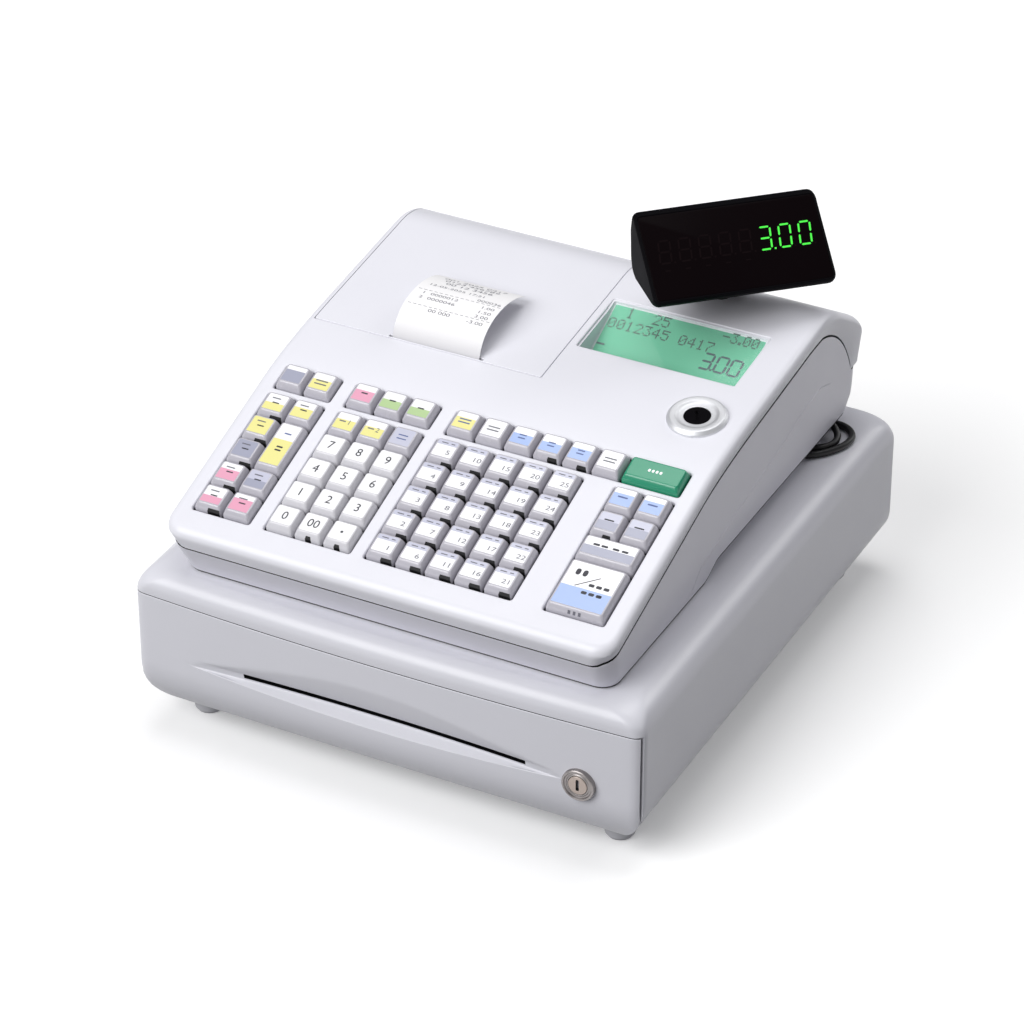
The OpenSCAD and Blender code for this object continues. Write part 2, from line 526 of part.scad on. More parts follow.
// side outline of the head in its own frame, as [y, z]
head_side = concat([face_0, [-45.6, 231.6], [-42, 229.8], [-6, 228.8], [1, 232.4], [4.5, 240], [6, 260], [4.8, 267], [2, 270.6]], [fp(face_h, 0)]);
module display_pole() color("dimgray") translate([pole_c[0], pole_c[1], 0]) {
  translate([0, 0, cab_h + case_t]) cylinder(r = 11, h = 4);
  translate([0, 0, 114]) cylinder(r = 7, h = 97.5);
  translate([0, 0, 211]) cylinder(r = 4, h = 13);
}
module display_head() color("black") at_head() difference() {
  union() {
    along_x(-head_w / 2, head_w / 2) polygon(head_side);
    // neck turning on the pole
    along_x(-19, 19) polygon([[-8.6, 213], [8.6, 213], [8.6, 232], [4, 236], [-20, 236], [-14, 228]]);
    translate([0, 0, 212.2]) cylinder(r = 8.4, h = 3);
  }
  translate([0, 0, 205]) cylinder(r = 4.06, h = 20);
  // room for the tube, and the recess of the lens in front of it
  along_x(-head_w / 2 + 4, head_w / 2 - 4) polygon([fp(5, -1), fp(5, -5.5), [-34, 232.4], [-8, 231.6], [-1, 235], [2, 242], [3.2, 256], fp(53, -6), fp(53, -1)]);
  along_x(-head_w / 2 + 1.6, head_w / 2 - 1.6) polygon([fp(1.6, -1.6), fp(face_h - 1.6, -1.6), fp(face_h - 1.6, 3), fp(1.6, 3)]);
}
module on_face() at_head() translate([0, face_0[0], face_0[1]]) rotate([90 - head_lean, 0, 0]) children();
module display_lens() color([0.08, 0.07, 0.07]) on_face() block([-head_w / 2 + 1.7, 1.7, -1.6], [head_w / 2 - 1.7, face_h - 1.7, 0.1]);
module display_tube() color("darkgreen") on_face() block([-48, 12, -7], [48, 40, -2.2]);

// ---------- cable ----------
cable_r = 2.2;
cable_pts = [[112.5, 286, 114.6], [120, 286, 114.4], [129, 287.5, 112.6], [138, 293, 111.9], [145.5, 301.5, 111.9], [150.5, 312, 111.9],
  [151, 322, 111.9], [146, 329.5, 111.9], [138, 332.5, 111.9], [130, 330.5, 111.9], [123.5, 323, 111.9], [121.5, 312, 111.9],
  [125, 302, 111.9], [132, 299, 111.9], [139.5, 303, 111.9], [144, 311, 112], [142.6, 319, 113.6], [136, 324, 116.2], [128, 323.4, 116.7], [120, 322, 116.2], [112.5, 322, 115.6]];
function cat(a, b, c, d, t) = 0.5 * ((2 * b) + (c - a) * t + (2 * a - 5 * b + 4 * c - d) * t * t + (3 * b - a - 3 * c + d) * t * t * t);
function path(p, k) = concat([for (i = [0:len(p) - 2]) for (j = [0:k - 1]) cat(p[max(i - 1, 0)], p[i], p[i + 1], p[min(i + 2, len(p) - 1)], j / k)], [p[len(p) - 1]]);
function unit(v) = v / norm(v);
module tube(p, r, n) {
  m = len(p);
  dirs = [for (i = [0:m - 1]) unit(p[min(i + 1, m - 1)] - p[max(i - 1, 0)])];
  loft([for (i = [0:m - 1]) let (d = dirs[i], u = unit(cross([0, 0, 1], d)), v = cross(d, u)) [for (j = [0:n - 1]) p[i] + r * (cos(360 * j / n) * u + sin(360 * j / n) * v)]]);
}
module drawer_cable() color([0.05, 0.05, 0.05]) tube(path(cable_pts, 2), cable_r, 8);
module case_screws() color("silver") for (p = screw_at) translate([p[0], p[1], 0]) {
  translate([0, 0, 106]) cylinder(r = 1.5, h = 14);
  translate([0, 0, cab_h - cab_wall - 2]) cylinder(r = 3.2, h = 2);
}

// ---------- keys ----------
// cap of w by d millimetres of the key grid, its label face set back over a sloping front
module cap(w, d, h = key_h) {
  function ring(x, y0, y1, z, c) = [[-x + c, y0, z], [x - c, y0, z], [x, y0 + c, z], [x, y1 - c, z], [x - c, y1, z], [-x + c, y1, z], [-x, y1 - c, z], [-x, y0 + c, z]];
  loft([ring(w / 2 - 0.8, -d / 2 + 0.7, d / 2 - 0.7, -3.6, 0.6), ring(w / 2 - 0.9, -d / 2 + 0.8, d / 2 - 0.8, 0.2, 0.7),
    ring(w / 2 - 2.2, -d / 2 + 3.6, d / 2 - 1.6, h - 0.3, 0.9), ring(w / 2 - 2.5, -d / 2 + 3.9, d / 2 - 1.9, h, 0.9)]);
  translate([-2, -2, -7.6]) cube([4, 4, 4.2]);
}
module key_at(x, r, w = 1, d = 1) kb() translate([x, row0 + r * py, 0]) cap(w * px, d * py);
module num(c, r) color("white") key_at(colD + c * px, r);
module key_0() num(0, 0);
module key_00() num(1, 0);
module key_dot() num(2, 0);
module key_1() num(0, 1);
module key_2() num(1, 1);
module key_3() num(2, 1);
module key_4() num(0, 2);
module key_5() num(1, 2);
module key_6() num(2, 2);
module key_7() num(0, 3);
module key_8() num(1, 3);
module key_9() num(2, 3);
module key_total() color("lightsteelblue") key_at(colG + px / 2, 0.5, 2, 2);
module key_subtotal() color("lightgray") key_at(colG + px / 2, 2, 2, 1);
module key_green() color("seagreen") key_at(colG + px / 2, 5.24, 2, 1);
module department_keys() color("white") for (c = [0:4], r = [0:4]) key_at(colF + c * px + c * 0.1, r);
module left_keys() {
  color("khaki") for (r = [0:4]) key_at(colB, r);
  color("pink") for (r = [0, 1, 4]) key_at(colB + px, r);
  color("khaki") key_at(colB + px, 2.5, 1, 2);
  color("lightgray") for (c = [0, 1]) key_at(colB + c * px, 5.24);
}
module upper_keys() {
  color("palegreen") for (c = [0:2]) key_at(colD + c * px, 5.24);
  color("khaki") for (c = [0:2]) key_at(colD + c * px, 4);
  color("lightsteelblue") for (c = [0:5]) key_at(colE + c * px, 5.24);
}
module right_keys() color("lightsteelblue") for (c = [0, 1], r = [3, 4]) key_at(colG + c * px, r);

place() cabinet_shell();
place() cabinet_base();
place() cabinet_feet();
place() roller_left();
place() roller_right();
place() drawer_tray();
place() drawer_front();
place() till_insert();
place() clip_rod();
place() bill_clip_1();
place() bill_clip_2();
place() bill_clip_3();
place() bill_clip_4();
place() lock_barrel();
place() lock_plug();
place() latch_solenoid();
place() latch_lever();
place() lower_case();
place() upper_case();
place() printer_cover();
place() display_bezel();
place() lcd_window();
place() lcd_panel();
place() mode_ring();
place() mode_plug();
place() key_bed();
place() main_board();
place() power_unit();
place() power_inlet();
place() printer_frame();
place() platen_roller();
place() drive_motor();
place() motor_pinion();
place() paper_roll();
place() receipt_paper();
place() display_pole();
place() display_head();
place() display_lens();
place() display_tube();
place() drawer_cable();
place() case_screws();
place() key_0();
place() key_1();
place() key_2();
place() key_3();
place() key_4();
place() key_5();
place() key_6();
place() key_7();
place() key_8();
place() key_9();
place() key_00();
place() key_dot();
place() key_total();
place() key_subtotal();
place() key_green();
place() department_keys();
place() left_keys();
place() upper_keys();
place() right_keys();
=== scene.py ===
import json
import math
import random

import bpy
import bmesh
import numpy as np
from mathutils import Matrix, Vector
from mathutils.geometry import delaunay_2d_cdt


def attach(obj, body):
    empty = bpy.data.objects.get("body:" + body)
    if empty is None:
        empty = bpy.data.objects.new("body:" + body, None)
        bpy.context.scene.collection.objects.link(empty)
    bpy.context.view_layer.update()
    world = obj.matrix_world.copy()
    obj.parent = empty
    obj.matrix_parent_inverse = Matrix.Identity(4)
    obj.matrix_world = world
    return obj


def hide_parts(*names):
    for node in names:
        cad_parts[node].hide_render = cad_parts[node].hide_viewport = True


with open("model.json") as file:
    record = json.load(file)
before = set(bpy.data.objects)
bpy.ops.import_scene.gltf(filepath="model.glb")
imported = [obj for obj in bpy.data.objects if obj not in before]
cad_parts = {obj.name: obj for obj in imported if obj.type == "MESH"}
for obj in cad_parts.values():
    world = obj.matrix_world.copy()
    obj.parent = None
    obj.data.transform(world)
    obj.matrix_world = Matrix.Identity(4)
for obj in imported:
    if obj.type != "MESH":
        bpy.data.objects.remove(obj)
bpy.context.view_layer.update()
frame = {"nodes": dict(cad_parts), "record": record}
rng = random.Random(7)
scene = bpy.context.scene
OY = 179.6  # the part's source draws with Y = 0 at the drawer front's edge, in millimetres


def W(p):
    """A point of the source's drawing, in millimetres, as a point of the row frame, in metres."""
    return Vector((p[0] / 1000, (p[1] - OY) / 1000, p[2] / 1000))


# ---------------------------------------------------------------- camera
cam = bpy.data.objects.new("camera", bpy.data.cameras.new("camera"))
scene.collection.objects.link(cam)
cam.data.lens = 144.93
cam.data.sensor_width = 36
cam.data.clip_start = 0.05
cam.data.clip_end = 40
back = Vector((0.385858, -0.748323, 0.539561)).normalized()
right = Vector((0, 0, 1)).cross(back).normalized()
up = back.cross(right)
cam.matrix_world = Matrix(((right.x, up.x, back.x, 0.947243), (right.y, up.y, back.y, -1.853583), (right.z, up.z, back.z, 1.428744), (0, 0, 0, 1)))
scene.camera = cam
scene.view_settings.view_transform = "Standard"
scene.view_settings.look = "None"


# ---------------------------------------------------------------- materials
def srgb(r, g, b):
    def one(c):
        c = c / 255
        return c / 12.92 if c <= 0.04045 else ((c + 0.055) / 1.055) ** 2.4
    return (one(r), one(g), one(b))


def mat(name, rgb, rough=0.4, metal=0.0, grain=0.0, grain_scale=900.0, vary=0.03, vary_scale=20.0, rough_vary=0.06, coat=0.0,
        spec=None, wear=0.0, wear_rgb=None, stretch=None, alpha=None, emit=None, emit_strength=0.0, sub=0.0, transmission=0.0, ior=None, fade=None):
    """Moulded or metal finish: slow colour drift, uneven gloss, fine surface grain and, where asked, wear on the edges
    and a painted shade that gives way between two heights.
    """
    m = bpy.data.materials.new(name)
    m.use_nodes = True
    nt = m.node_tree
    bsdf = nt.nodes["Principled BSDF"]
    col = srgb(*rgb)
    tc = nt.nodes.new("ShaderNodeTexCoord")
    mp = nt.nodes.new("ShaderNodeMapping")
    nt.links.new(tc.outputs["Object"], mp.inputs["Vector"])
    if stretch:
        mp.inputs["Scale"].default_value = stretch
    src = mp.outputs["Vector"]
    n1 = nt.nodes.new("ShaderNodeTexNoise")
    n1.inputs["Scale"].default_value = vary_scale
    n1.inputs["Detail"].default_value = 4
    nt.links.new(tc.outputs["Object"], n1.inputs["Vector"])
    mix = nt.nodes.new("ShaderNodeMix")
    mix.data_type = "RGBA"
    mix.inputs["A"].default_value = (*[c * (1 - vary) for c in col], 1)
    mix.inputs["B"].default_value = (*[min(1, c * (1 + vary)) for c in col], 1)
    nt.links.new(n1.outputs["Fac"], mix.inputs["Factor"])
    out = mix.outputs["Result"]
    if fade:
        # painted shade: a second colour that gives way to the first between two heights of the part
        sep = nt.nodes.new("ShaderNodeSeparateXYZ")
        nt.links.new(tc.outputs["Object"], sep.inputs["Vector"])
        fr = nt.nodes.new("ShaderNodeMapRange")
        fr.inputs["From Min"].default_value = fade[1]
        fr.inputs["From Max"].default_value = fade[2]
        nt.links.new(sep.outputs["Z"], fr.inputs["Value"])
        fmix = nt.nodes.new("ShaderNodeMix")
        fmix.data_type = "RGBA"
        fmix.inputs["A"].default_value = (*srgb(*fade[0]), 1)
        nt.links.new(fr.outputs["Result"], fmix.inputs["Factor"])
        nt.links.new(out, fmix.inputs["B"])
        out = fmix.outputs["Result"]
    if wear:
        geo = nt.nodes.new("ShaderNodeNewGeometry")
        ramp = nt.nodes.new("ShaderNodeMapRange")
        ramp.inputs["From Min"].default_value = 0.52
        ramp.inputs["From Max"].default_value = 0.62
        nt.links.new(geo.outputs["Pointiness"], ramp.inputs["Value"])
        n4 = nt.nodes.new("ShaderNodeTexNoise")
        n4.inputs["Scale"].default_value = 160
        nt.links.new(tc.outputs["Object"], n4.inputs["Vector"])
        mul = nt.nodes.new("ShaderNodeMath")
        mul.operation = "MULTIPLY"
        nt.links.new(ramp.outputs["Result"], mul.inputs[0])
        nt.links.new(n4.outputs["Fac"], mul.inputs[1])
        mul2 = nt.nodes.new("ShaderNodeMath")
        mul2.operation = "MULTIPLY"
        mul2.inputs[1].default_value = wear
        nt.links.new(mul.outputs[0], mul2.inputs[0])
        mix2 = nt.nodes.new("ShaderNodeMix")
        mix2.data_type = "RGBA"
        nt.links.new(mul2.outputs[0], mix2.inputs["Factor"])
        nt.links.new(out, mix2.inputs["A"])
        wc = srgb(*(wear_rgb or tuple(min(255, c * 1.15) for c in rgb)))
        mix2.inputs["B"].default_value = (*wc, 1)
        out = mix2.outputs["Result"]
    nt.links.new(out, bsdf.inputs["Base Color"])
    if rough_vary:
        n2 = nt.nodes.new("ShaderNodeTexNoise")
        n2.inputs["Scale"].default_value = 60
        n2.inputs["Detail"].default_value = 3
        nt.links.new(src, n2.inputs["Vector"])
        mr = nt.nodes.new("ShaderNodeMapRange")
        mr.inputs["To Min"].default_value = max(0.02, rough - rough_vary)
        mr.inputs["To Max"].default_value = min(1, rough + rough_vary)
        nt.links.new(n2.outputs["Fac"], mr.inputs["Value"])
        nt.links.new(mr.outputs["Result"], bsdf.inputs["Roughness"])
    else:
        bsdf.inputs["Roughness"].default_value = rough
    if grain:
        n3 = nt.nodes.new("ShaderNodeTexNoise")
        n3.inputs["Scale"].default_value = grain_scale
        n3.inputs["Detail"].default_value = 2
        nt.links.new(src, n3.inputs["Vector"])
        bump = nt.nodes.new("ShaderNodeBump")
        bump.inputs["Strength"].default_value = grain
        bump.inputs["Distance"].default_value = 0.0002
        nt.links.new(n3.outputs["Fac"], bump.inputs["Height"])
        nt.links.new(bump.outputs["Normal"], bsdf.inputs["Normal"])
    bsdf.inputs["Metallic"].default_value = metal
    bsdf.inputs["Coat Weight"].default_value = coat
    bsdf.inputs["Coat Roughness"].default_value = 0.08
    if spec is not None:
        bsdf.inputs["Specular IOR Level"].default_value = spec
    if ior is not None:
        bsdf.inputs["IOR"].default_value = ior
    if sub:
        bsdf.inputs["Subsurface Weight"].default_value = sub
        bsdf.inputs["Subsurface Radius"].default_value = (1, 1, 1)
        bsdf.inputs["Subsurface Scale"].default_value = 0.0006
    if transmission:
        bsdf.inputs["Transmission Weight"].default_value = transmission
    if alpha is not None:
        bsdf.inputs["Alpha"].default_value = alpha
    if emit:
        bsdf.inputs["Emission Color"].default_value = (*srgb(*emit), 1)
        bsdf.inputs["Emission Strength"].default_value = emit_strength
    m.diffuse_color = (*col, 1)
    return m


M = {
    "case": mat("case_plastic", (226, 226, 233), rough=0.34, grain=0.16, grain_scale=2600, vary=0.012, rough_vary=0.05, spec=0.45),
    "lower": mat("lower_plastic", (226, 225, 233), rough=0.38, grain=0.16, grain_scale=2600, vary=0.012, spec=0.4),
    "cabinet": mat("cabinet_plastic", (215, 215, 222), rough=0.33, grain=0.2, grain_scale=2200, vary=0.015, spec=0.5, wear=0.3, wear_rgb=(232, 232, 238)),
    "pan": mat("pan_metal", (120, 122, 128), rough=0.42, metal=1.0, grain=0.12, grain_scale=700, vary=0.06, vary_scale=90, wear=0.4, wear_rgb=(190, 190, 195)),
    "foot": mat("foot_rubber", (196, 196, 201), rough=0.62, grain=0.4, grain_scale=1500, vary=0.06),
    "roller": mat("roller_plastic", (222, 221, 214), rough=0.42, grain=0.1, vary=0.03),
    "tray": mat("tray_metal", (150, 152, 156), rough=0.36, metal=1.0, grain=0.15, grain_scale=500, vary=0.05, vary_scale=120, stretch=(1, 14, 1), wear=0.5, wear_rgb=(205, 205, 208)),
    "till": mat("till_plastic", (58, 59, 63), rough=0.5, grain=0.5, grain_scale=1100, vary=0.06, wear=0.35, wear_rgb=(92, 93, 97)),
    "steel": mat("steel", (172, 173, 176), rough=0.3, metal=1.0, grain=0.1, grain_scale=400, vary=0.05, stretch=(1, 8, 1), wear=0.4, wear_rgb=(215, 215, 218)),
    "chrome": mat("chrome", (226, 227, 230), rough=0.52, metal=0.8, vary=0.02, rough_vary=0.04, grain=0.03, grain_scale=900),
    "nickel": mat("nickel", (150, 145, 144), rough=0.42, metal=1.0, vary=0.03, grain=0.05, grain_scale=900),
    "plug": mat("lock_plug_metal", (176, 163, 155), rough=0.46, metal=0.7, vary=0.04, grain=0.06, grain_scale=700),
    "copper": mat("winding", (168, 92, 48), rough=0.34, metal=0.6, grain=0.5, grain_scale=300, vary=0.1, stretch=(22, 1, 1)),
    "dark": mat("dark_plastic", (8, 7, 10), rough=0.5, grain=0.12, grain_scale=1800, vary=0.1, wear=0.25, wear_rgb=(26, 24, 29), spec=0.03),
    "glass": mat("lcd_glass", (220, 245, 235), rough=0.06, vary=0.01, rough_vary=0.02, alpha=0.1, coat=0.0, spec=0.6),
    "lcd": mat("lcd_green", (88, 186, 148), rough=0.5, vary=0.02, vary_scale=40, emit=(92, 200, 156), emit_strength=0.1, grain=0.05, spec=0.2),
    "board": mat("board_green", (24, 92, 58), rough=0.36, grain=0.3, grain_scale=260, vary=0.14, vary_scale=260, coat=0.2),
    "unit": mat("unit_metal", (86, 88, 92), rough=0.45, metal=0.8, grain=0.2, vary=0.08),
    "rubber": mat("roller_rubber", (28, 28, 30), rough=0.7, grain=0.35, grain_scale=1600, vary=0.1),
    "brass": mat("brass", (196, 160, 84), rough=0.3, metal=1.0, grain=0.08, vary=0.06),
    "paper": mat("paper_white", (240, 239, 240), rough=0.62, grain=0.3, grain_scale=1300, vary=0.012, sub=0.05),
    # painted shade: the strip is grey below 0.190 m and turns white by 0.208 m, where its upright lower part stands
    # turned from the light
    "paper_strip": mat("paper_strip", (243, 242, 243), rough=0.62, grain=0.3, grain_scale=1300, vary=0.012, fade=((196, 195, 199), 0.190, 0.208)),
    "paper_grey": mat("paper_shade", (205, 204, 208), rough=0.62, grain=0.3, grain_scale=1300, vary=0.012),
    "lens": mat("lens_black", (14, 9, 11), rough=0.2, vary=0.12, rough_vary=0.03, spec=0.015),
    "tube": mat("tube_green", (30, 60, 44), rough=0.2, vary=0.1),
    "cable": mat("cable_black", (14, 14, 16), rough=0.42, grain=0.2, grain_scale=1500, vary=0.15),
    "key_white": mat("key_white", (243, 243, 246), rough=0.24, grain=0.06, grain_scale=2600, vary=0.008, spec=0.5, coat=0.1),
    "key_pale": mat("key_pale", (206, 205, 210), rough=0.28, grain=0.04, grain_scale=2600, vary=0.015, spec=0.5, coat=0.15),
    "key_clear": mat("key_grey", (186, 184, 192), rough=0.26, grain=0.04, grain_scale=2600, vary=0.02, spec=0.55, coat=0.25),
    "key_blue": mat("key_blue", (180, 194, 232), rough=0.22, vary=0.015, coat=0.2),
    "key_green": mat("key_green", (46, 146, 112), rough=0.22, vary=0.03, coat=0.25, grain=0.05),
    "bed": mat("bed_plastic", (92, 90, 98), rough=0.5, grain=0.4, vary=0.05),
    "lab_white": mat("label_white", (246, 246, 248), rough=0.16, vary=0.008, coat=0.2),
    "lab_grey": mat("label_grey", (164, 166, 184), rough=0.18, vary=0.02, coat=0.2),
    "lab_pale": mat("label_pale", (198, 199, 216), rough=0.18, vary=0.02, coat=0.2),
    "lab_yellow": mat("label_yellow", (236, 230, 152), rough=0.18, vary=0.02, coat=0.2),
    "lab_pink": mat("label_pink", (230, 166, 190), rough=0.18, vary=0.02, coat=0.2),
    "lab_green": mat("label_green", (180, 206, 152), rough=0.18, vary=0.02, coat=0.2),
    "lab_blue": mat("label_blue", (162, 184, 230), rough=0.18, vary=0.02, coat=0.2),
    "ink": mat("ink", (52, 52, 60), rough=0.4, vary=0.08),
    "ink_soft": mat("ink_soft", (104, 104, 114), rough=0.4, vary=0.08),
    "ink_blue": mat("ink_blue", (84, 100, 150), rough=0.4, vary=0.08),
    "lcd_ink": mat("lcd_ink", (24, 66, 58), rough=0.4, vary=0.06),
    "lcd_ink2": mat("lcd_ink_bold", (16, 44, 66), rough=0.4, vary=0.06),
    "glow": mat("segment_lit", (60, 230, 60), rough=0.4, vary=0.02, emit=(78, 205, 70), emit_strength=0.4),
    "unlit": mat("segment_unlit", (21, 14, 16), rough=0.4, vary=0.1, spec=0.01),
    # painted shadow: near-black put in the gaps under key caps, the keyways, the drawer's slot and joints and the
    # case's seams, where shade falls
    "black": mat("patch_black", (12, 12, 14), rough=0.4, vary=0.1),
    "shade": mat("recess_grey", (150, 150, 158), rough=0.4, grain=0.15, vary=0.02),
}
SLOT_MAT = {"case_plastic": "case", "lower_plastic": "lower", "cabinet_plastic": "cabinet", "pan_metal": "pan", "foot_rubber": "foot", "roller_plastic": "roller",
            "tray_metal": "tray", "till_plastic": "till", "steel": "steel", "chrome": "chrome", "copper_part": "copper", "dark_plastic": "dark", "lcd_glass": "glass",
            "lcd_green": "lcd", "board_green": "board", "unit_metal": "unit", "roller_rubber": "rubber", "brass": "brass", "paper_white": "paper", "lens_black": "lens",
            "tube_green": "tube", "cable_black": "cable", "key_white": "key_white", "key_grey": "key_clear", "key_blue": "key_blue", "key_green": "key_green", "bed_plastic": "bed"}
SLOT_OF = {v: k for k, v in SLOT_MAT.items()}


# ---------------------------------------------------------------- mesh helpers
class Geo:
    """Collects points and faces in the drawing's millimetres, and makes one object of them."""

    def __init__(self, *mats):
        self.v, self.f, self.m = [], [], []
        self.mats = list(mats)

    def mi(self, name):
        if name not in self.mats:
            self.mats.append(name)
        return self.mats.index(name)

    def ring(self, pts):
        base = len(self.v)
        self.v.extend([tuple(float(c) for c in p) for p in pts])
        return list(range(base, base + len(pts)))

    def face(self, idx, m=None):
        self.f.append(tuple(idx))
        self.m.append(self.mi(m) if m else 0)

    def strip(self, a, b, m=None, closed=True):
        n = len(a)
        for i in range(n if closed else n - 1):
            j = (i + 1) % n
            self.face((a[i], a[j], b[j], b[i]), m)

    def loft(self, rings, m=None, caps=(True, True), closed=True):
        ids = [self.ring(r) for r in rings]
        for a, b in zip(ids, ids[1:]):
            self.strip(a, b, m, closed)
        if caps[0]:
            self.face(ids[0][::-1], m)
        if caps[1]:
            self.face(ids[-1], m)
        return ids

    def build(self, name, body, nodes=(), angle=32, wn=True, recalc=True, bevel=None):
        me = bpy.data.meshes.new(name)
        me.from_pydata([tuple(W(p)) for p in self.v], [], self.f)
        for n in self.mats:
            me.materials.append(M[n])
        me.polygons.foreach_set("material_index", self.m)
        me.update()
        bm = bmesh.new()
        bm.from_mesh(me)
        bmesh.ops.remove_doubles(bm, verts=bm.verts, dist=1e-6)
        if recalc:
            bmesh.ops.recalc_face_normals(bm, faces=bm.faces)
        bm.to_mesh(me)
        bm.free()
        me.polygons.foreach_set("use_smooth", [True] * len(me.polygons))
        me.set_sharp_from_angle(angle=math.radians(angle))
        ob = bpy.data.objects.new(name, me)
        scene.collection.objects.link(ob)
        if bevel:
            bv = ob.modifiers.new("edge", "BEVEL")
            bv.width = bevel / 1000
            bv.segments = 2
            bv.limit_method = "ANGLE"
            bv.angle_limit = math.radians(40)
        if wn:
            mod = ob.modifiers.new("normals", "WEIGHTED_NORMAL")
            mod.keep_sharp = True
        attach(ob, body)
        if nodes:
            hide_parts(*nodes)
        return ob


def inside(poly, pts):
    p = np.asarray(poly, float)
    q = np.asarray(pts, float)
    res = np.zeros(len(q), bool)
    x1, y1 = p[:, 0], p[:, 1]
    x2, y2 = np.roll(x1, -1), np.roll(y1, -1)
    for a, b, c, d in zip(x1, y1, x2, y2):
        if b == d:
            continue
        cond = (q[:, 1] < b) != (q[:, 1] < d)
        xi = a + (q[:, 1] - b) * (c - a) / (d - b)
        res ^= cond & (q[:, 0] < xi)
    return res


def near(poly, pts):
    p = np.asarray(poly, float)
    q = np.asarray(pts, float)
    best = np.full(len(q), 1e9)
    for a, b in zip(p, np.roll(p, -1, axis=0)):
        d = b - a
        L = max(float(d @ d), 1e-12)
        t = np.clip(((q - a) @ d) / L, 0, 1)
        best = np.minimum(best, np.hypot(*(q - (a + t[:, None] * d)).T))
    return best


def cdt(loops, steiner, gap=0.7):
    """Triangles of the region inside loops[0] and outside the others; loop points come first, then the kept inner points."""
    st = np.asarray(steiner, float).reshape(-1, 2)
    if len(st):
        keep = inside(loops[0], st) & (near(loops[0], st) > gap)
        for h in loops[1:]:
            keep &= ~inside(h, st) & (near(h, st) > gap)
        st = st[keep]
    verts, edges = [], []
    for lp in loops:
        base = len(verts)
        verts += [Vector((float(p[0]), float(p[1]))) for p in lp]
        n = len(lp)
        edges += [(base + i, base + (i + 1) % n) for i in range(n)]
    verts += [Vector((float(p[0]), float(p[1]))) for p in st]
    ov, oe, of, orig, _, _ = delaunay_2d_cdt(verts, edges, [], 1, 1e-6)
    n0 = len(verts)
    mp, extra = {}, []
    for i, o in enumerate(orig):
        if len(o):
            mp[i] = o[0]
        else:
            mp[i] = n0 + len(extra)
            extra.append((ov[i].x, ov[i].y))
    cen = np.array([[sum(ov[i].x for i in t) / 3, sum(ov[i].y for i in t) / 3] for t in of])
    ok = inside(loops[0], cen)
    for h in loops[1:]:
        ok &= ~inside(h, cen)
    tris = [tuple(mp[i] for i in t) for t, k in zip(of, ok) if k]
    return tris, [tuple(p) for p in st] + extra


def rrect(x0, y0, x1, y1, r, n=5, nx=1, ny=None):
    """Rounded rectangle, anticlockwise from the low left corner; nx splits the long sides, ny is a list of y on the upright sides."""
    r = max(r, 0.01)
    pts = []
    for cx, cy, a0 in ((x0 + r, y0 + r, 180), (x1 - r, y0 + r, 270), (x1 - r, y1 - r, 0), (x0 + r, y1 - r, 90)):
        pts.append([(cx + r * math.cos(math.radians(a0 + 90 * i / n)), cy + r * math.sin(math.radians(a0 + 90 * i / n))) for i in range(n + 1)])
    ll, lr, ur, ul = pts
    bottom = [(ll[-1][0] + (lr[0][0] - ll[-1][0]) * i / nx, y0) for i in range(1, nx)]
    top = [(ur[-1][0] + (ul[0][0] - ur[-1][0]) * i / nx, y1) for i in range(1, nx)]
    rt = [(x1, y) for y in (ny or [])]
    lt = [(x0, y) for y in reversed(ny or [])]
    return ll + bottom + lr + rt + ur + top + ul + lt


def circle(cx, cy, r, n=40):
    return [(cx + r * math.cos(2 * math.pi * i / n), cy + r * math.sin(2 * math.pi * i / n)) for i in range(n)]


def fillet(r, n=4):
    """(offset from the edge, depth) from the face over a round edge."""
    return [(r * (1 - math.sin(math.pi / 2 * k / n)), r * (1 - math.cos(math.pi / 2 * k / n))) for k in range(n + 1)]


def bez(a, b, c, n=8):
    out = []
    for i in range(n + 1):
        t = i / n
        out.append([a[k] * (1 - t) ** 2 + b[k] * 2 * t * (1 - t) + c[k] * t * t for k in range(len(a))])
    return out


def slab(g, outer, holes, steiner, F, thick, edge=0.4, hole_edge=0.4, m=None, hole_m=None, back=True, depths=None, n=3):
    """A plate on the surface F(p, t): its front face, rounded rims at its edge and holes, and its back at depth thick."""
    eo, eh = fillet(edge, n), fillet(hole_edge, n)
    lo = [outer(eo[0][0])] + [h(eh[0][0]) for h in holes]
    tris, st = cdt(lo, steiner)
    allp = [p for lp in lo for p in lp] + st
    ids = g.ring([F(p, 0) for p in allp])
    for t in tris:
        g.face([ids[i] for i in t], m)
    lb = [outer(0)] + [h(0) for h in holes]
    if back:
        tb, sb = cdt(lb, steiner)
        allb = [p for lp in lb for p in lp] + sb
        idb = g.ring([F(p, thick) for p in allb])
        for t in tb:
            g.face([idb[i] for i in t][::-1], m)
    pos = 0
    for k, lp in enumerate(lo):
        e = eo if k == 0 else eh
        fn = outer if k == 0 else holes[k - 1]
        mm = m if k == 0 or not hole_m else hole_m
        prev = ids[pos:pos + len(lp)]
        for o, t in e[1:]:
            cur = g.ring([F(p, t) for p in fn(o)])
            g.strip(prev, cur, m)
            prev = cur
        if back:
            g.strip(prev, idb[pos:pos + len(lp)], mm)
        else:
            last = g.ring([F(p, thick) for p in fn(0)])
            g.strip(prev, last, mm)
        pos += len(lp)


GLYPHS = {}


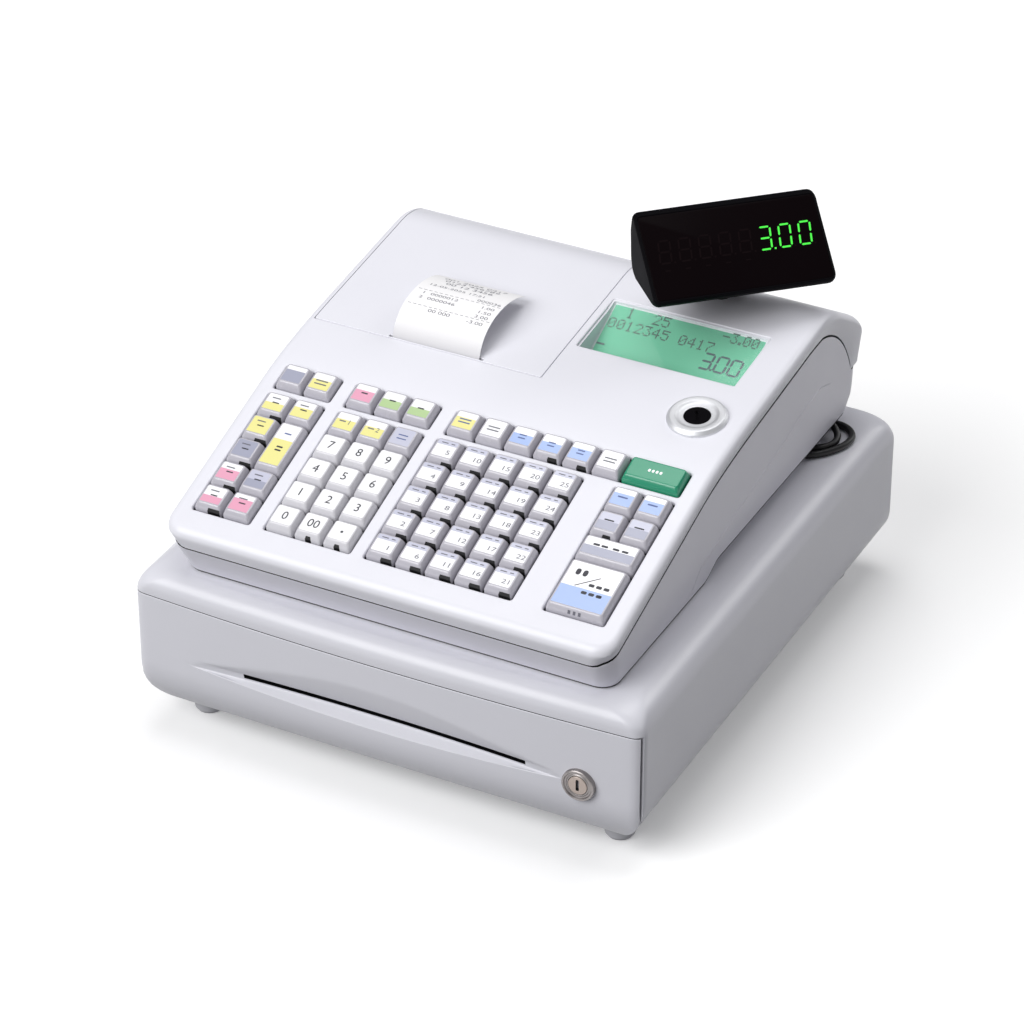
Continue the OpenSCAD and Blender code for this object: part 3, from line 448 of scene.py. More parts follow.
def glyph(text):
    """Flat triangles of a text of digits, centred, in units of its cap height."""
    if text not in GLYPHS:
        cu = bpy.data.curves.new("glyph", "FONT")
        cu.body = text
        cu.size = 1
        cu.align_x = "CENTER"
        cu.resolution_u = 4
        ob = bpy.data.objects.new("glyph", cu)
        scene.collection.objects.link(ob)
        dg = bpy.context.evaluated_depsgraph_get()
        me = bpy.data.meshes.new_from_object(ob.evaluated_get(dg))
        vs = np.array([v.co[:2] for v in me.vertices], float)
        fs = [tuple(p.vertices) for p in me.polygons]
        bpy.data.objects.remove(ob)
        bpy.data.curves.remove(cu)
        bpy.data.meshes.remove(me)
        h = 0.69
        vs[:, 1] -= h / 2
        GLYPHS[text] = (vs / h, fs)
    return GLYPHS[text]


def put(g, text, place, height, m, width=1.0):
    """Draws digits on a surface: place(x, y) gives the point in the drawing."""
    vs, fs = glyph(text)
    ids = g.ring([place(v[0] * height * width, v[1] * height) for v in vs])
    for f in fs:
        g.face([ids[i] for i in f], m)


SEG = {"0": "abcdef", "1": "bc", "2": "abged", "3": "abgcd", "4": "fgbc", "5": "afgcd", "6": "afgedc", "7": "abc", "8": "abcdefg", "9": "abfgcd"}


def seven(g, ch, place, x, y, w, h, t, m, slant=0.0, gap=0.12):
    """One seven-segment digit with its lower left corner at x, y."""
    a = t / 2
    segs = {"a": ((0, h), (w, h)), "g": ((0, h / 2), (w, h / 2)), "d": ((0, 0), (w, 0)), "f": ((0, h / 2), (0, h)), "b": ((w, h / 2), (w, h)),
            "e": ((0, 0), (0, h / 2)), "c": ((w, 0), (w, h / 2))}
    for s in SEG[ch]:
        (x0, y0), (x1, y1) = segs[s]
        dx, dy = x1 - x0, y1 - y0
        L = math.hypot(dx, dy)
        ux, uy = dx / L, dy / L
        p = [(gap * t + a, 0), (gap * t + 2 * a, a), (L - gap * t - 2 * a, a), (L - gap * t - a, 0), (L - gap * t - 2 * a, -a), (gap * t + 2 * a, -a)]
        q = [(x + x0 + u * ux - v * uy + slant * (y0 + u * uy + v * ux), y + y0 + u * uy + v * ux) for u, v in p]
        g.face(g.ring([place(*c) for c in q]), m)


# ---------------------------------------------------------------- cords
cable_pts = [[112.5, 286, 114.6], [120, 286, 114.4], [129, 287.5, 112.6], [138, 293, 111.9], [145.5, 301.5, 111.9], [150.5, 312, 111.9],
             [151, 322, 111.9], [146, 329.5, 111.9], [138, 332.5, 111.9], [130, 330.5, 111.9], [123.5, 323, 111.9], [121.5, 312, 111.9],
             [125, 302, 111.9], [132, 299, 111.9], [139.5, 303, 111.9], [144, 311, 112], [142.6, 319, 113.6], [136, 324, 116.2], [128, 323.4, 116.7],
             [120, 322, 116.2], [112.5, 322, 115.6]]


def catmull(pts, k):
    out = []
    P = [np.array(p, float) for p in pts]
    for i in range(len(P) - 1):
        a, b, c, d = P[max(i - 1, 0)], P[i], P[i + 1], P[min(i + 2, len(P) - 1)]
        for j in range(k):
            t = j / k
            out.append(0.5 * (2 * b + (c - a) * t + (2 * a - 5 * b + 4 * c - d) * t * t + (3 * b - a - 3 * c + d) * t ** 3))
    out.append(P[-1])
    return out


route = [W(p) for p in catmull(cable_pts, 6)]
cu = bpy.data.curves.new("cable_loop", "CURVE")
cu.dimensions = "3D"
sp = cu.splines.new("POLY")
sp.points.add(len(route) - 1)
for i, p in enumerate(route):
    sp.points[i].co = (*p, 1)
cu.bevel_depth = 0.0022
cu.bevel_resolution = 4
cu.use_fill_caps = True
cu.materials.append(M["cable"])
cable = bpy.data.objects.new("cable_loop", cu)
scene.collection.objects.link(cable)
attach(cable, "root")
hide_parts("drawer_cable")

# ---------------------------------------------------------------- stage and light
me = bpy.data.meshes.new("floor")
me.from_pydata([(-6, -6, 0), (6, -6, 0), (6, 6, 0), (-6, 6, 0)], [], [(0, 1, 2, 3)])
floor = bpy.data.objects.new("floor", me)
scene.collection.objects.link(floor)
fm = mat("floor_white", (250, 250, 250), rough=0.9, vary=0.002, grain=0.0, rough_vary=0.0, spec=0.1, emit=(255, 255, 255), emit_strength=0.16)
me.materials.append(fm)
floor.visible_diffuse = False


def area(name, loc, target, size, energy, size_y=None, color=(1, 1, 1)):
    li = bpy.data.lights.new(name, "AREA")
    li.shape = "RECTANGLE"
    li.size = size
    li.size_y = size_y or size
    li.energy = energy
    li.color = color
    ob = bpy.data.objects.new(name, li)
    scene.collection.objects.link(ob)
    d = Vector(loc) - Vector(target)
    ob.location = loc
    ob.rotation_euler = d.to_track_quat("Z", "Y").to_euler()
    return ob


# soft box high on the left in front, a weaker one above, a small one behind on the right, a faint one for the shaded side
area("key_light", (-1.3, -2.8, 2.5), (0, 0, 0.1), 2.9, 141, 2.6)
area("top_light", (-0.1, 0.6, 2.9), (0.0, 0, 0.1), 2.0, 34, 1.8)
area("back_light", (1.25, 2.3, 1.65), (0.05, 0.05, 0.15), 1.2, 18, 1.2)
area("side_fill", (2.8, -0.6, 1.0), (0, 0, 0.15), 1.4, 4.5, 1.2)
world = bpy.data.worlds.new("studio")
world.use_nodes = True
world.node_tree.nodes["Background"].inputs["Color"].default_value = (0.95, 0.95, 1.0, 1)
world.node_tree.nodes["Background"].inputs["Strength"].default_value = 0.16
scene.world = world

# ---------------------------------------------------------------- register body: shared surfaces
KS, KZ = 0.323, 145.0
TH = math.atan(KS)


def kz(y):
    return KZ + KS * y


_top = np.array([[-4, kz(-4)], [60, kz(60)], [90, kz(90)], [124, kz(124)]] + bez([125, kz(125)], [147.6, kz(147.6) - 0.2], [195, 198.2], 30)
                + [[240, 198.2 + 45 * 0.11685]] + bez([284, 208.6], [301, 210.6], [316, 200.6], 24) + bez([334, 189.4], [353, 177.5], [357.5, 158], 24) + [[357.9, 156]])
_ty, _tz = _top[:, 0], _top[:, 1]
_yy = np.linspace(-3, 357.8, 2400)
_zz = np.interp(_yy, _ty, _tz)
_ker = np.ones(25) / 25
_zs = np.convolve(np.pad(_zz, 12, mode="edge"), _ker, mode="valid")
_zs[:14] = _zz[:14]
_zs[-14:] = _zz[-14:]
_ss = np.gradient(_zs, _yy)


def top(y):
    return float(np.interp(y, _yy, _zs))


def slope(y):
    return float(np.interp(y, _yy, _ss))


def TF(p, t):
    """Point of the case's top surface over plan point p, at depth t under it."""
    x, y = p
    s = slope(y)
    L = math.sqrt(1 + s * s)
    return (x, y + t * s / L, top(y) - t / L)


_seam = np.array([[-5, 129], [3.8, 132.2], [6.5, 134.6], [20, kz(20) - 12.6], [60, kz(60) - 12.6]] + bez([125, kz(125) - 12.4], [147.6, kz(147.6) - 12.6], [195, 186], 12)
                 + [[275, 195.4]] + bez([290, 196], [318, 190], [334, 158], 12) + [[337, 150], [380, 150]])


def seam(y):
    return float(np.interp(y, _seam[:, 0], _seam[:, 1]))


side_y = sorted(set([18, 26, 44, 62, 84, 104, 116] + [120 + 5 * i for i in range(16)] + [205, 220, 235, 250, 262, 272, 280] + [284 + 3.1 * i for i in range(11)] + [320, 323, 326, 329, 331.5, 334, 337, 340]))
CORNER = 13.0


def outline(d, y0=0.9, x=144.0, y1=357.6):
    """Plan outline of the case, drawn in by d."""
    r = max(CORNER - d, 1.2)
    pts = rrect(-x + d, y0 + d, x - d, y1 - d, r, n=7, nx=16, ny=side_y)
    return pts


def kp(x, u, w=0.0):
    """Keyboard frame: across, up the slope, out of the face."""
    return (x, u * math.cos(TH) - w * math.sin(TH), KZ + u * math.sin(TH) + w * math.cos(TH))


px, py = 18.7, 19.0
row0 = 28.4
colB, colD, colE, colF, colG = -122.8, -75.6, -9.0, -10.4, 103.4
TOPR = 5.24
well_boxes = [(colB - 9.8, row0 - 9.9, colB + px + 9.8, row0 + 4 * py + 9.7), (colB - 9.8, row0 + TOPR * py - 9.7, colB + px + 9.8, row0 + TOPR * py + 9.4),
              (colD - 9.8, row0 - 9.9, colD + 2 * px + 9.8, row0 + 4 * py + 9.7), (colD - 9.8, row0 + TOPR * py - 9.7, colD + 2 * px + 9.8, row0 + TOPR * py + 9.4),
              (colF - 9.8, row0 - 9.9, colF + 4 * px + 10.2, row0 + 4 * py + 9.7), (colE - 9.8, row0 + TOPR * py - 9.7, colG + px + 9.8, row0 + TOPR * py + 9.4),
              (colG - 9.8, row0 - 9.9, colG + px + 9.8, row0 + 4 * py + 9.7)]
CT = math.cos(TH)


def well_loop(b, r):
    def fn(o):
        return rrect(b[0] - o, b[1] * CT - o, b[2] + o, b[3] * CT + o, r + o, n=4, nx=2)
    return fn


def box_loop(x0, y0, x1, y1, r, n=3, nx=1, ny=None):
    def fn(o):
        return rrect(x0 - o, y0 - o, x1 + o, y1 + o, r + o, n=n, nx=nx, ny=ny)
    return fn


def ring_loop(cx, cy, r, n=40):
    def fn(o):
        return circle(cx, cy, r + o, n)
    return fn


curve_rows = [121 + 4.6 * i for i in range(17)] + [205, 225, 245, 265] + [281 + 3 * i for i in range(14)] + [322, 326, 330, 334, 337, 340, 343, 345.5, 348, 350, 351.7, 353, 354]
grid_x = [-132 + 12 * i for i in range(23)]
top_inner = [(x, y) for y in curve_rows for x in grid_x] + [(x, y) for y in (22, 60, 100) for x in grid_x[::2]]

# ---------------------------------------------------------------- upper case
cover_y = [180, 186, 192, 197, 205, 225, 245, 262, 274, 281, 284, 287, 290, 293, 296, 299, 302, 304.5, 306.5]
g = Geo("case")
EDGE = 5.2
WALL = 2.6
holes = [(well_loop(b, 1.6), 1.3) for b in well_boxes]
holes.append((box_loop(-139, 173.8, 13.7, 310.4, 0.8, n=2, nx=6, ny=cover_y), 0.45))
holes.append((box_loop(18.5, 209.9, 121.3, 260.7, 1.2, n=3, nx=4, ny=[220, 235, 250]), 0.9))
holes.append((ring_loop(114, 174.5 - 0.3, 12.2, 40), 0.3))
holes.append((ring_loop(74.5, 291, 7.3, 32), 0.4))
edge = fillet(EDGE, 6)
lo = [outline(edge[0][0])] + [h(fillet(r, 3)[0][0]) for h, r in holes]
tris, st = cdt(lo, top_inner, 1.2)
allp = [p for lp in lo for p in lp] + st
ids = g.ring([TF(p, 0) for p in allp])
for t in tris:
    g.face([ids[i] for i in t])
inner_out = outline(WALL)
lb = [inner_out] + [h(0) for h, r in holes]
tb, sb = cdt(lb, top_inner, 1.2)
idb = g.ring([TF(p, WALL) for p in [q for lp in lb for q in lp] + sb])
for t in tb:
    g.face([idb[i] for i in t][::-1])
pos = len(lo[0])
for (h, r), lp in zip(holes, lo[1:]):
    prev = ids[pos:pos + len(lp)]
    for o, t in fillet(r, 3)[1:]:
        cur = g.ring([TF(p, t) for p in h(o)])
        g.strip(prev, cur)
        prev = cur
    g.strip(prev, idb[pos:pos + len(lp)])
    pos += len(lp)
prev = ids[:len(lo[0])]
for d, drop in edge[1:]:
    cur = g.ring([(x, y, top(y) - drop) for x, y in outline(d)])
    g.strip(prev, cur)
    prev = cur
flat, low = outline(0), outline(0, y0=3.8, x=142.0)


def side_level(k, n=4):
    pts = []
    for (x0, y0), (x1, y1) in zip(flat, low):
        za, zb = top(y0) - EDGE, seam(y1) + 0.25
        t = k / n
        pts.append((x0 + (x1 - x0) * t, y0 + (y1 - y0) * t, za + (zb - za) * t))
    return pts


for k in range(1, 5):
    cur = g.ring(side_level(k))
    g.strip(prev, cur)
    prev = cur
rim = g.ring([(x, y, seam(y) + 0.25) for x, y in outline(WALL, y0=3.8, x=142.0)])
g.strip(prev, rim)
g.strip(rim, idb[:len(lo[0])])
# bosses under the skin that carry the cover's trunnions
for x0, x1, y0, y1, z0, z1 in ((-141.6, -139.2, 302, 311.5, 196, 203), (14.0, 18, 302, 311.2, 197.5, 203.4)):
    g.loft([[(x, y, z) for x, y in rrect(x0, y0, x1, y1, 0.8, n=3)] for z in (z0, z1)])
upper = g.build("upper_case_shell", "root", ["upper_case"], angle=34)



# ---------------------------------------------------------------- printer cover
def cover_outer(o):
    return rrect(-138.6 + o, 174.2 + o, 13.3 - o, 308.35 - o, 1.2, n=3, nx=8, ny=cover_y)


def notch(o):
    return rrect(-88.5 - o, 174.9, -25.5 + o, 176.8 + o, 0.5 + o, n=3, nx=5)


g = Geo("case")
cover_grid = [(x, y) for y in [186, 190, 194, 199, 206, 225, 245, 265] + [281 + 2.4 * i for i in range(12)] for x in [-132 + 12 * i for i in range(13)]]
slab(g, cover_outer, [notch], cover_grid, TF, 2.4, edge=0.45, hole_edge=0.4)
# hinge arms with their trunnions, and the tear bar under the slot
for x0 in (-138.4, 9.1):
    prof = [[290, 207.4], [300, 206.2], [308.4, 203.4], [308.6, 201], [306.5, 199.6], [303, 200.4], [296, 204]]
    g.loft([[(x, y, z) for y, z in prof] for x in (x0, x0 + 4)])
for x0, x1 in ((-141, -138.3), (13, 17)):
    g.loft([[(x, 306.5 + 1.94 * math.cos(a), 202.6 + 1.94 * math.sin(a)) for a in [2 * math.pi * i / 20 for i in range(20)]] for x in (x0, x1)])
bar = [(177.6, 190.8), (180.4, 190.8), (180.4, 195.2), (178.2, 195.2), (177.6, 193.4)]
ids = g.loft([[(x, y, z) for y, z in bar] for x in (-88.3, -25.7)])
# saw teeth of the tear bar, pointing at the slot
n = 42
for i in range(n):
    xa = -88 + 62 * i / n
    xb = xa + 62 / n
    a, b, c, d = g.ring([(xa, 177.6, 193.9), (xb, 177.6, 193.9), ((xa + xb) / 2, 176.9, 195.0), ((xa + xb) / 2, 177.7, 195.4)])
    g.face((a, b, c))
    g.face((a, c, d))
    g.face((b, d, c))
    g.face((a, d, b))
cover = g.build("cover_panel", "printer_cover", ["printer_cover"], angle=34)

# ---------------------------------------------------------------- receipt
curl = [[175.4, 189]] + bez([175.6, 196], [181, 214], [207, 214.4], 22) + bez([207, 214.4], [222, 214.2], [234, 208], 14)[1:]
curl = np.array(curl)
tang = np.gradient(curl, axis=0)
tang /= np.linalg.norm(tang, axis=1)[:, None]
nor = np.stack([-tang[:, 1], tang[:, 0]], 1)
arc_len = np.concatenate([[0], np.cumsum(np.linalg.norm(np.diff(curl, axis=0), axis=1))])


def on_paper(x, s, lift=0.0):
    """Point of the strip at x, s millimetres up from its lower end, lift over its upper face."""
    y = np.interp(s, arc_len, curl[:, 0])
    z = np.interp(s, arc_len, curl[:, 1])
    a = np.interp(s, arc_len, nor[:, 0])
    b = np.interp(s, arc_len, nor[:, 1])
    wave = 0.12 * math.sin((x + 57) * 0.09) * max(0.0, (s - 18) / 60)
    return (x, y + a * (lift + wave), z + b * (lift + wave))


g = Geo("paper_strip")
S = np.linspace(0, arc_len[-1], 46)
xs = np.linspace(-86, -28, 15)
top_ids = [g.ring([on_paper(x, s, 0.30) for x in xs]) for s in S[:-1]]
# the torn end has a fine zigzag
top_ids.append(g.ring([on_paper(x, S[-1] + (0.35 if i % 2 else -0.35), 0.30) for i, x in enumerate(xs)]))
bot_ids = [g.ring([on_paper(x, s, 0.12) for x in xs]) for s in S[:-1]]
bot_ids.append(g.ring([on_paper(x, S[-1] + (0.35 if i % 2 else -0.35), 0.12) for i, x in enumerate(xs)]))
for a, b in zip(top_ids, top_ids[1:]):
    g.strip(a, b, closed=False)
for a, b in zip(bot_ids, bot_ids[1:]):
    g.strip(b, a, closed=False)
loop_t = top_ids[0] + [r[-1] for r in top_ids[1:]] + top_ids[-1][::-1][1:] + [r[0] for r in top_ids[1:-1][::-1]]
loop_b = bot_ids[0] + [r[-1] for r in bot_ids[1:]] + bot_ids[-1][::-1][1:] + [r[0] for r in bot_ids[1:-1][::-1]]
g.strip(loop_t, loop_b)
L = arc_len[-1]


def print_line(text, x, s, h, m="ink_soft", width=1.6):
    # text runs across the strip and reads from the front: up on the paper is towards its free end
    put(g, text, lambda u, v: on_paper(x + u, s + v, 0.34), h, m, width)


rows = [(L - 7.5, "001 2025 0417", -57, 3.0), (L - 12, "0123 456789", -57, 3.0), (L - 16.5, "00 12 3456", -57, 3.0), (L - 22.5, "12-05-2025 17:21", -62, 2.3),
        (L - 27.5, "000036", -38, 2.3), (L - 33, "1  0000012", -68, 2.3), (L - 33.5, "1.00", -36, 2.3), (L - 37.5, "2  0000046", -68, 2.3), (L - 38, "1.50", -36, 2.3),
        (L - 42, "3.00", -36, 2.3), (L - 46.5, "00 000", -62, 2.3), (L - 47, "-3.00", -38, 2.3)]
for s, t, x, h in rows:
    print_line(t, x, s, h)
for s in (L - 30.2, L - 44.4):
    for i in range(16):
        x = -84 + 3.5 * i
        g.face(g.ring([on_paper(x, s, 0.34), on_paper(x + 2.2, s, 0.34), on_paper(x + 2.2, s + 0.35, 0.34), on_paper(x, s + 0.35, 0.34)]), "ink_soft")
receipt = g.build("receipt_strip", "printer_cover", ["receipt_paper"], angle=60, wn=False, recalc=False)

# ---------------------------------------------------------------- display well and its LCD
LA = math.radians(24.6)


def lz(y):
    return 204.4 - (260.6 - y) * math.tan(LA)


def on_lcd(x, v, w=0.0):
    """LCD frame: across, up the slope from -50 to 0, out of the glass."""
    return (x, 260.6 + v * math.cos(LA) - w * math.sin(LA), 204.4 + v * math.sin(LA) + w * math.cos(LA))


g = Geo("case")
lx0, lx1, ly0, ly1 = 18.6, 121.2, 210.0, 260.6


def bezel_ring(o, f):
    """Loop in the well, drawn in by o; f gives each point's height from its y."""
    return [(x, y, f(x, y)) for x, y in rrect(lx0 + o, ly0 + o, lx1 - o, ly1 - o, max(1.2 - o * 0.3, 0.5), n=3, nx=10, ny=[220, 230, 240, 250])]


def rim_z(x, y):
    return top(y) - (0.5 if y > 255 else 1.6)


def floor_z(x, y):
    return lz(y) - 0.6


outer_up = g.ring(bezel_ring(0.0, rim_z))
in_up = g.ring(bezel_ring(1.0, lambda x, y: max(rim_z(x, y) - 0.3, floor_z(x, y))))
in_low = g.ring([(x, y, min(top(y) - 1.9, floor_z(x, y) + 0.8)) for x, y in rrect(lx0 + 1.25, ly0 + 1.9, lx1 - 1.25, ly1 - 1.0, 0.8, n=3, nx=10, ny=[220, 230, 240, 250])])
in_fl = g.ring([(x, y, floor_z(x, y)) for x, y in rrect(lx0 + 1.9, ly0 + 3.2, lx1 - 1.9, ly1 - 1.6, 0.8, n=3, nx=10, ny=[220, 230, 240, 250])])
lip = g.ring([(x, y, floor_z(x, y)) for x, y in rrect(lx0 + 4, ly0 + 7, lx1 - 4, ly1 - 3, 0.8, n=3, nx=10, ny=[220, 230, 240, 250])])
lip2 = g.ring([(x, y, floor_z(x, y) - 2.2) for x, y in rrect(lx0 + 4, ly0 + 7, lx1 - 4, ly1 - 3, 0.8, n=3, nx=10, ny=[220, 230, 240, 250])])
under_in = g.ring([(x, y, floor_z(x, y) - 2.3) for x, y in rrect(lx0 + 4, ly0 + 7, lx1 - 4, ly1 - 3, 0.8, n=3, nx=10, ny=[220, 230, 240, 250])])
under_out = g.ring(bezel_ring(0.0, lambda x, y: floor_z(x, y) - 2.3))
for a, b in ((outer_up, in_up), (in_up, in_low), (in_low, in_fl), (in_fl, lip), (lip, lip2), (lip2, under_in), (under_in, under_out), (under_out, outer_up)):
    g.strip(a, b)
bezel = g.build("display_well", "root", ["display_bezel"], angle=38)

g = Geo("lcd")
gx0, gx1, gv0, gv1 = 20.2, 119.6, -49.2, -1.4
g.loft([[on_lcd(x, v, w) for x, v in rrect(gx0 + e, gv0 + e, gx1 - e, gv1 - e, 0.8, n=3)] for w, e in ((-2.2, 0.6), (-0.5, 0.6), (-0.2, 0.9))])


def lcd_mark(w):
    return lambda u, v: on_lcd(u, v, w)


LW = -0.16


def dots(text, x, v, ph, pv, m):
    """Dot-matrix digits, each a 5 by 7 grid of small dots."""
    font = {"0": "0E11131519110E", "1": "040C040404040E", "2": "0E11010204081F", "3": "1F02040201110E", "4": "02060A121F0202", "5": "1F101E0101110E", "6": "0608101E11110E",
            "7": "1F010204080808", "8": "0E11110E11110E", "9": "0E11110F01020C", ".": "00000000001818", "-": "0000001F000000", " ": "00000000000000"}
    for ch in text:
        bits7 = font[ch]
        for r in range(7):
            bits = int(bits7[2 * r:2 * r + 2], 16)
            for c in range(5):
                if bits >> (4 - c) & 1:
                    a, b = x + c * ph, v + (6 - r) * pv
                    g.face(g.ring([on_lcd(a, b, LW), on_lcd(a + ph * 0.93, b, LW), on_lcd(a + ph * 0.93, b + pv * 0.92, LW), on_lcd(a, b + pv * 0.92, LW)]), m)
        x += (3 if ch == "." else 6) * ph
    return x


dots("1  25", 30, -9.8, 0.97, 1.12, "lcd_ink")
dots("0012345 0417", 21.6, -19.0, 0.97, 1.08, "lcd_ink")
dots("-3.00", 92.4, -9.0, 0.9, 1.1, "lcd_ink")
xx = 87.2
for ch, dx in (("3", 9.5), ("0", 8.8), ("0", 0)):
    seven(g, ch, lcd_mark(LW), xx, -31.0, 6.4, 11.2, 1.5, "lcd_ink2", slant=0.04, gap=-0.42)
    if ch == "3":
        g.face(g.ring([on_lcd(xx + 7.2, -31.4, LW), on_lcd(xx + 8.7, -31.4, LW), on_lcd(xx + 8.7, -29.9, LW), on_lcd(xx + 7.2, -29.9, LW)]), "lcd_ink2")
    xx += dx
g.face(g.ring([on_lcd(21, -32.4, LW), on_lcd(26.4, -32.4, LW), on_lcd(26.4, -31.0, LW), on_lcd(21, -31.0, LW)]), "lcd_ink2")
lcd = g.build("lcd_screen", "root", ["lcd_panel"], angle=40, wn=False, recalc=False)

g = Geo("glass")
g.loft([[on_lcd(x, v, w) for x, v in rrect(gx0 - 0.1 + e, gv0 - 0.1 + e, gx1 + 0.1 - e, gv1 + 0.1 - e, 0.9, n=4)] for w, e in ((0.0, 0.0), (0.75, 0.0), (0.95, 0.08), (1.05, 0.35))])
g.build("lcd_cover_glass", "root", ["lcd_window"], angle=40)

# ---------------------------------------------------------------- mode lock
MC = (114, 174.5, 195.3)
MT = math.radians(8.3)


def on_mode(r, a, w):
    x, u = r * math.cos(a), r * math.sin(a)
    return (MC[0] + x, MC[1] + u * math.cos(MT) - w * math.sin(MT), MC[2] + u * math.sin(MT) + w * math.cos(MT))


def lathe(g, prof, on, n=72, m=None, caps=(True, True)):
    return g.loft([[on(r, 2 * math.pi * i / n, w) for i in range(n)] for r, w in prof], m, caps)


g = Geo("chrome")
prof = [(8.06, -9), (11.6, -9), (11.6, -0.3), (18.0, -0.2), (18.05, 0.9), (17.85, 1.4), (17.2, 2.0), (16.6, 2.75), (16.2, 3.1), (15.6, 3.25), (14.4, 3.2), (13.2, 3.15), (12.7, 3.05), (12.2, 2.7),
        (11.4, 2.25), (10.6, 2.05), (9.4, 2.0), (8.4, 1.95), (8.1, 1.8), (8.06, 1.4), (8.06, -9)]
rings = [[on_mode(r, 2 * math.pi * i / 80, w) for i in range(80)] for r, w in prof[:-1]]
ids = [g.ring(r) for r in rings]
for a, b in zip(ids, ids[1:] + ids[:1]):
    g.strip(a, b)
g.build("mode_ring_flange", "root", ["mode_ring"], angle=28)

g = Geo("dark")


def mode_face(o):
    return circle(0, 0, 7.95 - o, 56)


def key_slot(o):
    return rrect(-0.9 - o, -4.4 - o, 0.9 + o, 4.4 + o, 0.5 + o, n=3, nx=1)


def MF(p, t):
    r, a = math.hypot(p[0], p[1]), math.atan2(p[1], p[0]) + math.radians(28)
    return on_mode(r, a, 1.9 - t + 0.18 * math.cos(min(r / 7.95, 1) * math.pi / 2))


# painted shadow: the keyway's walls are near-black
slab(g, mode_face, [key_slot], [(2.6 * math.cos(a) * k, 2.6 * math.sin(a) * k) for k in (0.8, 1.3, 1.9, 2.5) for a in [2 * math.pi * i / 14 for i in range(14)]], MF, 4.0, edge=0.5, hole_edge=0.25, hole_m="black")
lathe(g, [(7.9, -11), (7.9, 0.5)], on_mode, 48)
lathe(g, [(9.4, -13), (9.4, -10.6)], on_mode, 48)
g.loft([[on_mode(math.hypot(x, u), math.atan2(u, x), w) for x, u in ((-1.5, 9), (1.5, 9), (1.5, 13), (-1.5, 13))] for w in (-13, -10.6)])
g.build("mode_plug_core", "mode_plug", ["mode_plug"], angle=36)

# ---------------------------------------------------------------- customer display
HT = math.radians(43.3)
PC = (74.5, 291.0)


def at_head(x, y, z):
    return (PC[0] + x * math.cos(HT) - y * math.sin(HT), PC[1] + x * math.sin(HT) + y * math.cos(HT), z)


HL = math.radians(51.7)
F0 = (-46.6, 234.6)


def fp(a, o):
    return [F0[0] + a * math.sin(HL) - o * math.cos(HL), F0[1] + a * math.cos(HL) + o * math.sin(HL)]


def on_face(x, a, o):
    y, z = fp(a, o)
    return at_head(x, y, z)


def round_poly(pts, radii, n=5):
    """Polygon with rounded corners."""
    out = []
    m = len(pts)
    for i in range(m):
        p, a, b = np.array(pts[i], float), np.array(pts[i - 1], float), np.array(pts[(i + 1) % m], float)
        u, v = (a - p), (b - p)
        lu, lv = np.linalg.norm(u), np.linalg.norm(v)
        u, v = u / lu, v / lv
        ang = math.acos(max(-1, min(1, float(u @ v))))
        r = radii[i] if isinstance(radii, (list, tuple)) else radii
        d = min(r / math.tan(ang / 2), lu * 0.45, lv * 0.45)
        out += [tuple(q) for q in bez(list(p + u * d), list(p), list(p + v * d), n)]
    return out


side = [F0, (-42.5, 229.9), (-6, 228.8), (1, 232.4), (4.5, 240), (6, 260), (3.2, 270.4), tuple(fp(58, 0))]
cenx, ceny = -18.0, 248.0


def head_ring(x, k):
    """Side outline at x, drawn in towards its middle by k millimetres."""
    pts = round_poly(side, [2.2, 5, 8, 8, 10, 14, 5, 2.0], 5)
    res = []
    for y, z in pts:
        dx, dz = y - cenx, z - ceny
        L = math.hypot(dx, dz)
        res.append(at_head(x, y - dx / L * k, z - dz / L * k))
    return res


g = Geo("dark")
hwid = 56.5
xs = [(-hwid, 4.2), (-hwid + 0.25, 3.0), (-hwid + 0.9, 1.75), (-hwid + 2.0, 0.7), (-hwid + 3.4, 0.15), (-hwid + 5, 0)]
ids = [g.ring(head_ring(x, k)) for x, k in xs]
idr = [g.ring(head_ring(-x, k)) for x, k in xs[::-1]]
allr = ids + idr
# the face side is left open between its two edges and closed below by the frame of the lens
for a, b in zip(allr, allr[1:]):
    g.strip(a, b)
g.face(allr[0][::-1])
g.face(allr[-1])
head_body = g
# neck, collar
neck = round_poly([(-8.6, 213), (8.6, 213), (8.6, 232), (2, 237), (-20, 236), (-14, 228)], 1.5, 3)
g.loft([[at_head(x, y * (1 if abs(x) < 18.9 else 0.97), z) for y, z in neck] for x in (-19, -18.2, 18.2, 19)])
lathe(g, [(8.4, 212.2), (8.6, 212.6), (8.6, 214.8), (8.2, 215.4)], lambda r, a, w: at_head(r * math.cos(a), r * math.sin(a), w), 48)
# raised frame round the lens
def frame_loop(o):
    return rrect(-hwid + 1.0 + o, 0.6 + o, hwid - 1.0 - o, 57.4 - o, 3.2, n=6, nx=8)


def lens_loop(o):
    return rrect(-54.6 - o, 1.9 - o, 54.6 + o, 56.1 + o, 2.6 + o, n=6, nx=8)


slab(g, frame_loop, [lens_loop], [], lambda p, t: on_face(p[0], p[1], 0.25 - t), 1.4, edge=0.5, hole_edge=0.3)
# a row of vent slits across the back
for k in range(7):
    z0 = 243 + 3.2 * k
    g.loft([[at_head(x, y, z) for y, z in ((5.0 + 0.045 * (z0 - 240), z0), (5.55 + 0.045 * (z0 - 240), z0 + 0.2), (5.55 + 0.045 * (z0 - 240), z0 + 1.2), (5.0 + 0.045 * (z0 - 240), z0 + 1.4))] for x in (-30, 30)])
g.build("display_housing", "display_head", ["display_head"], angle=34)

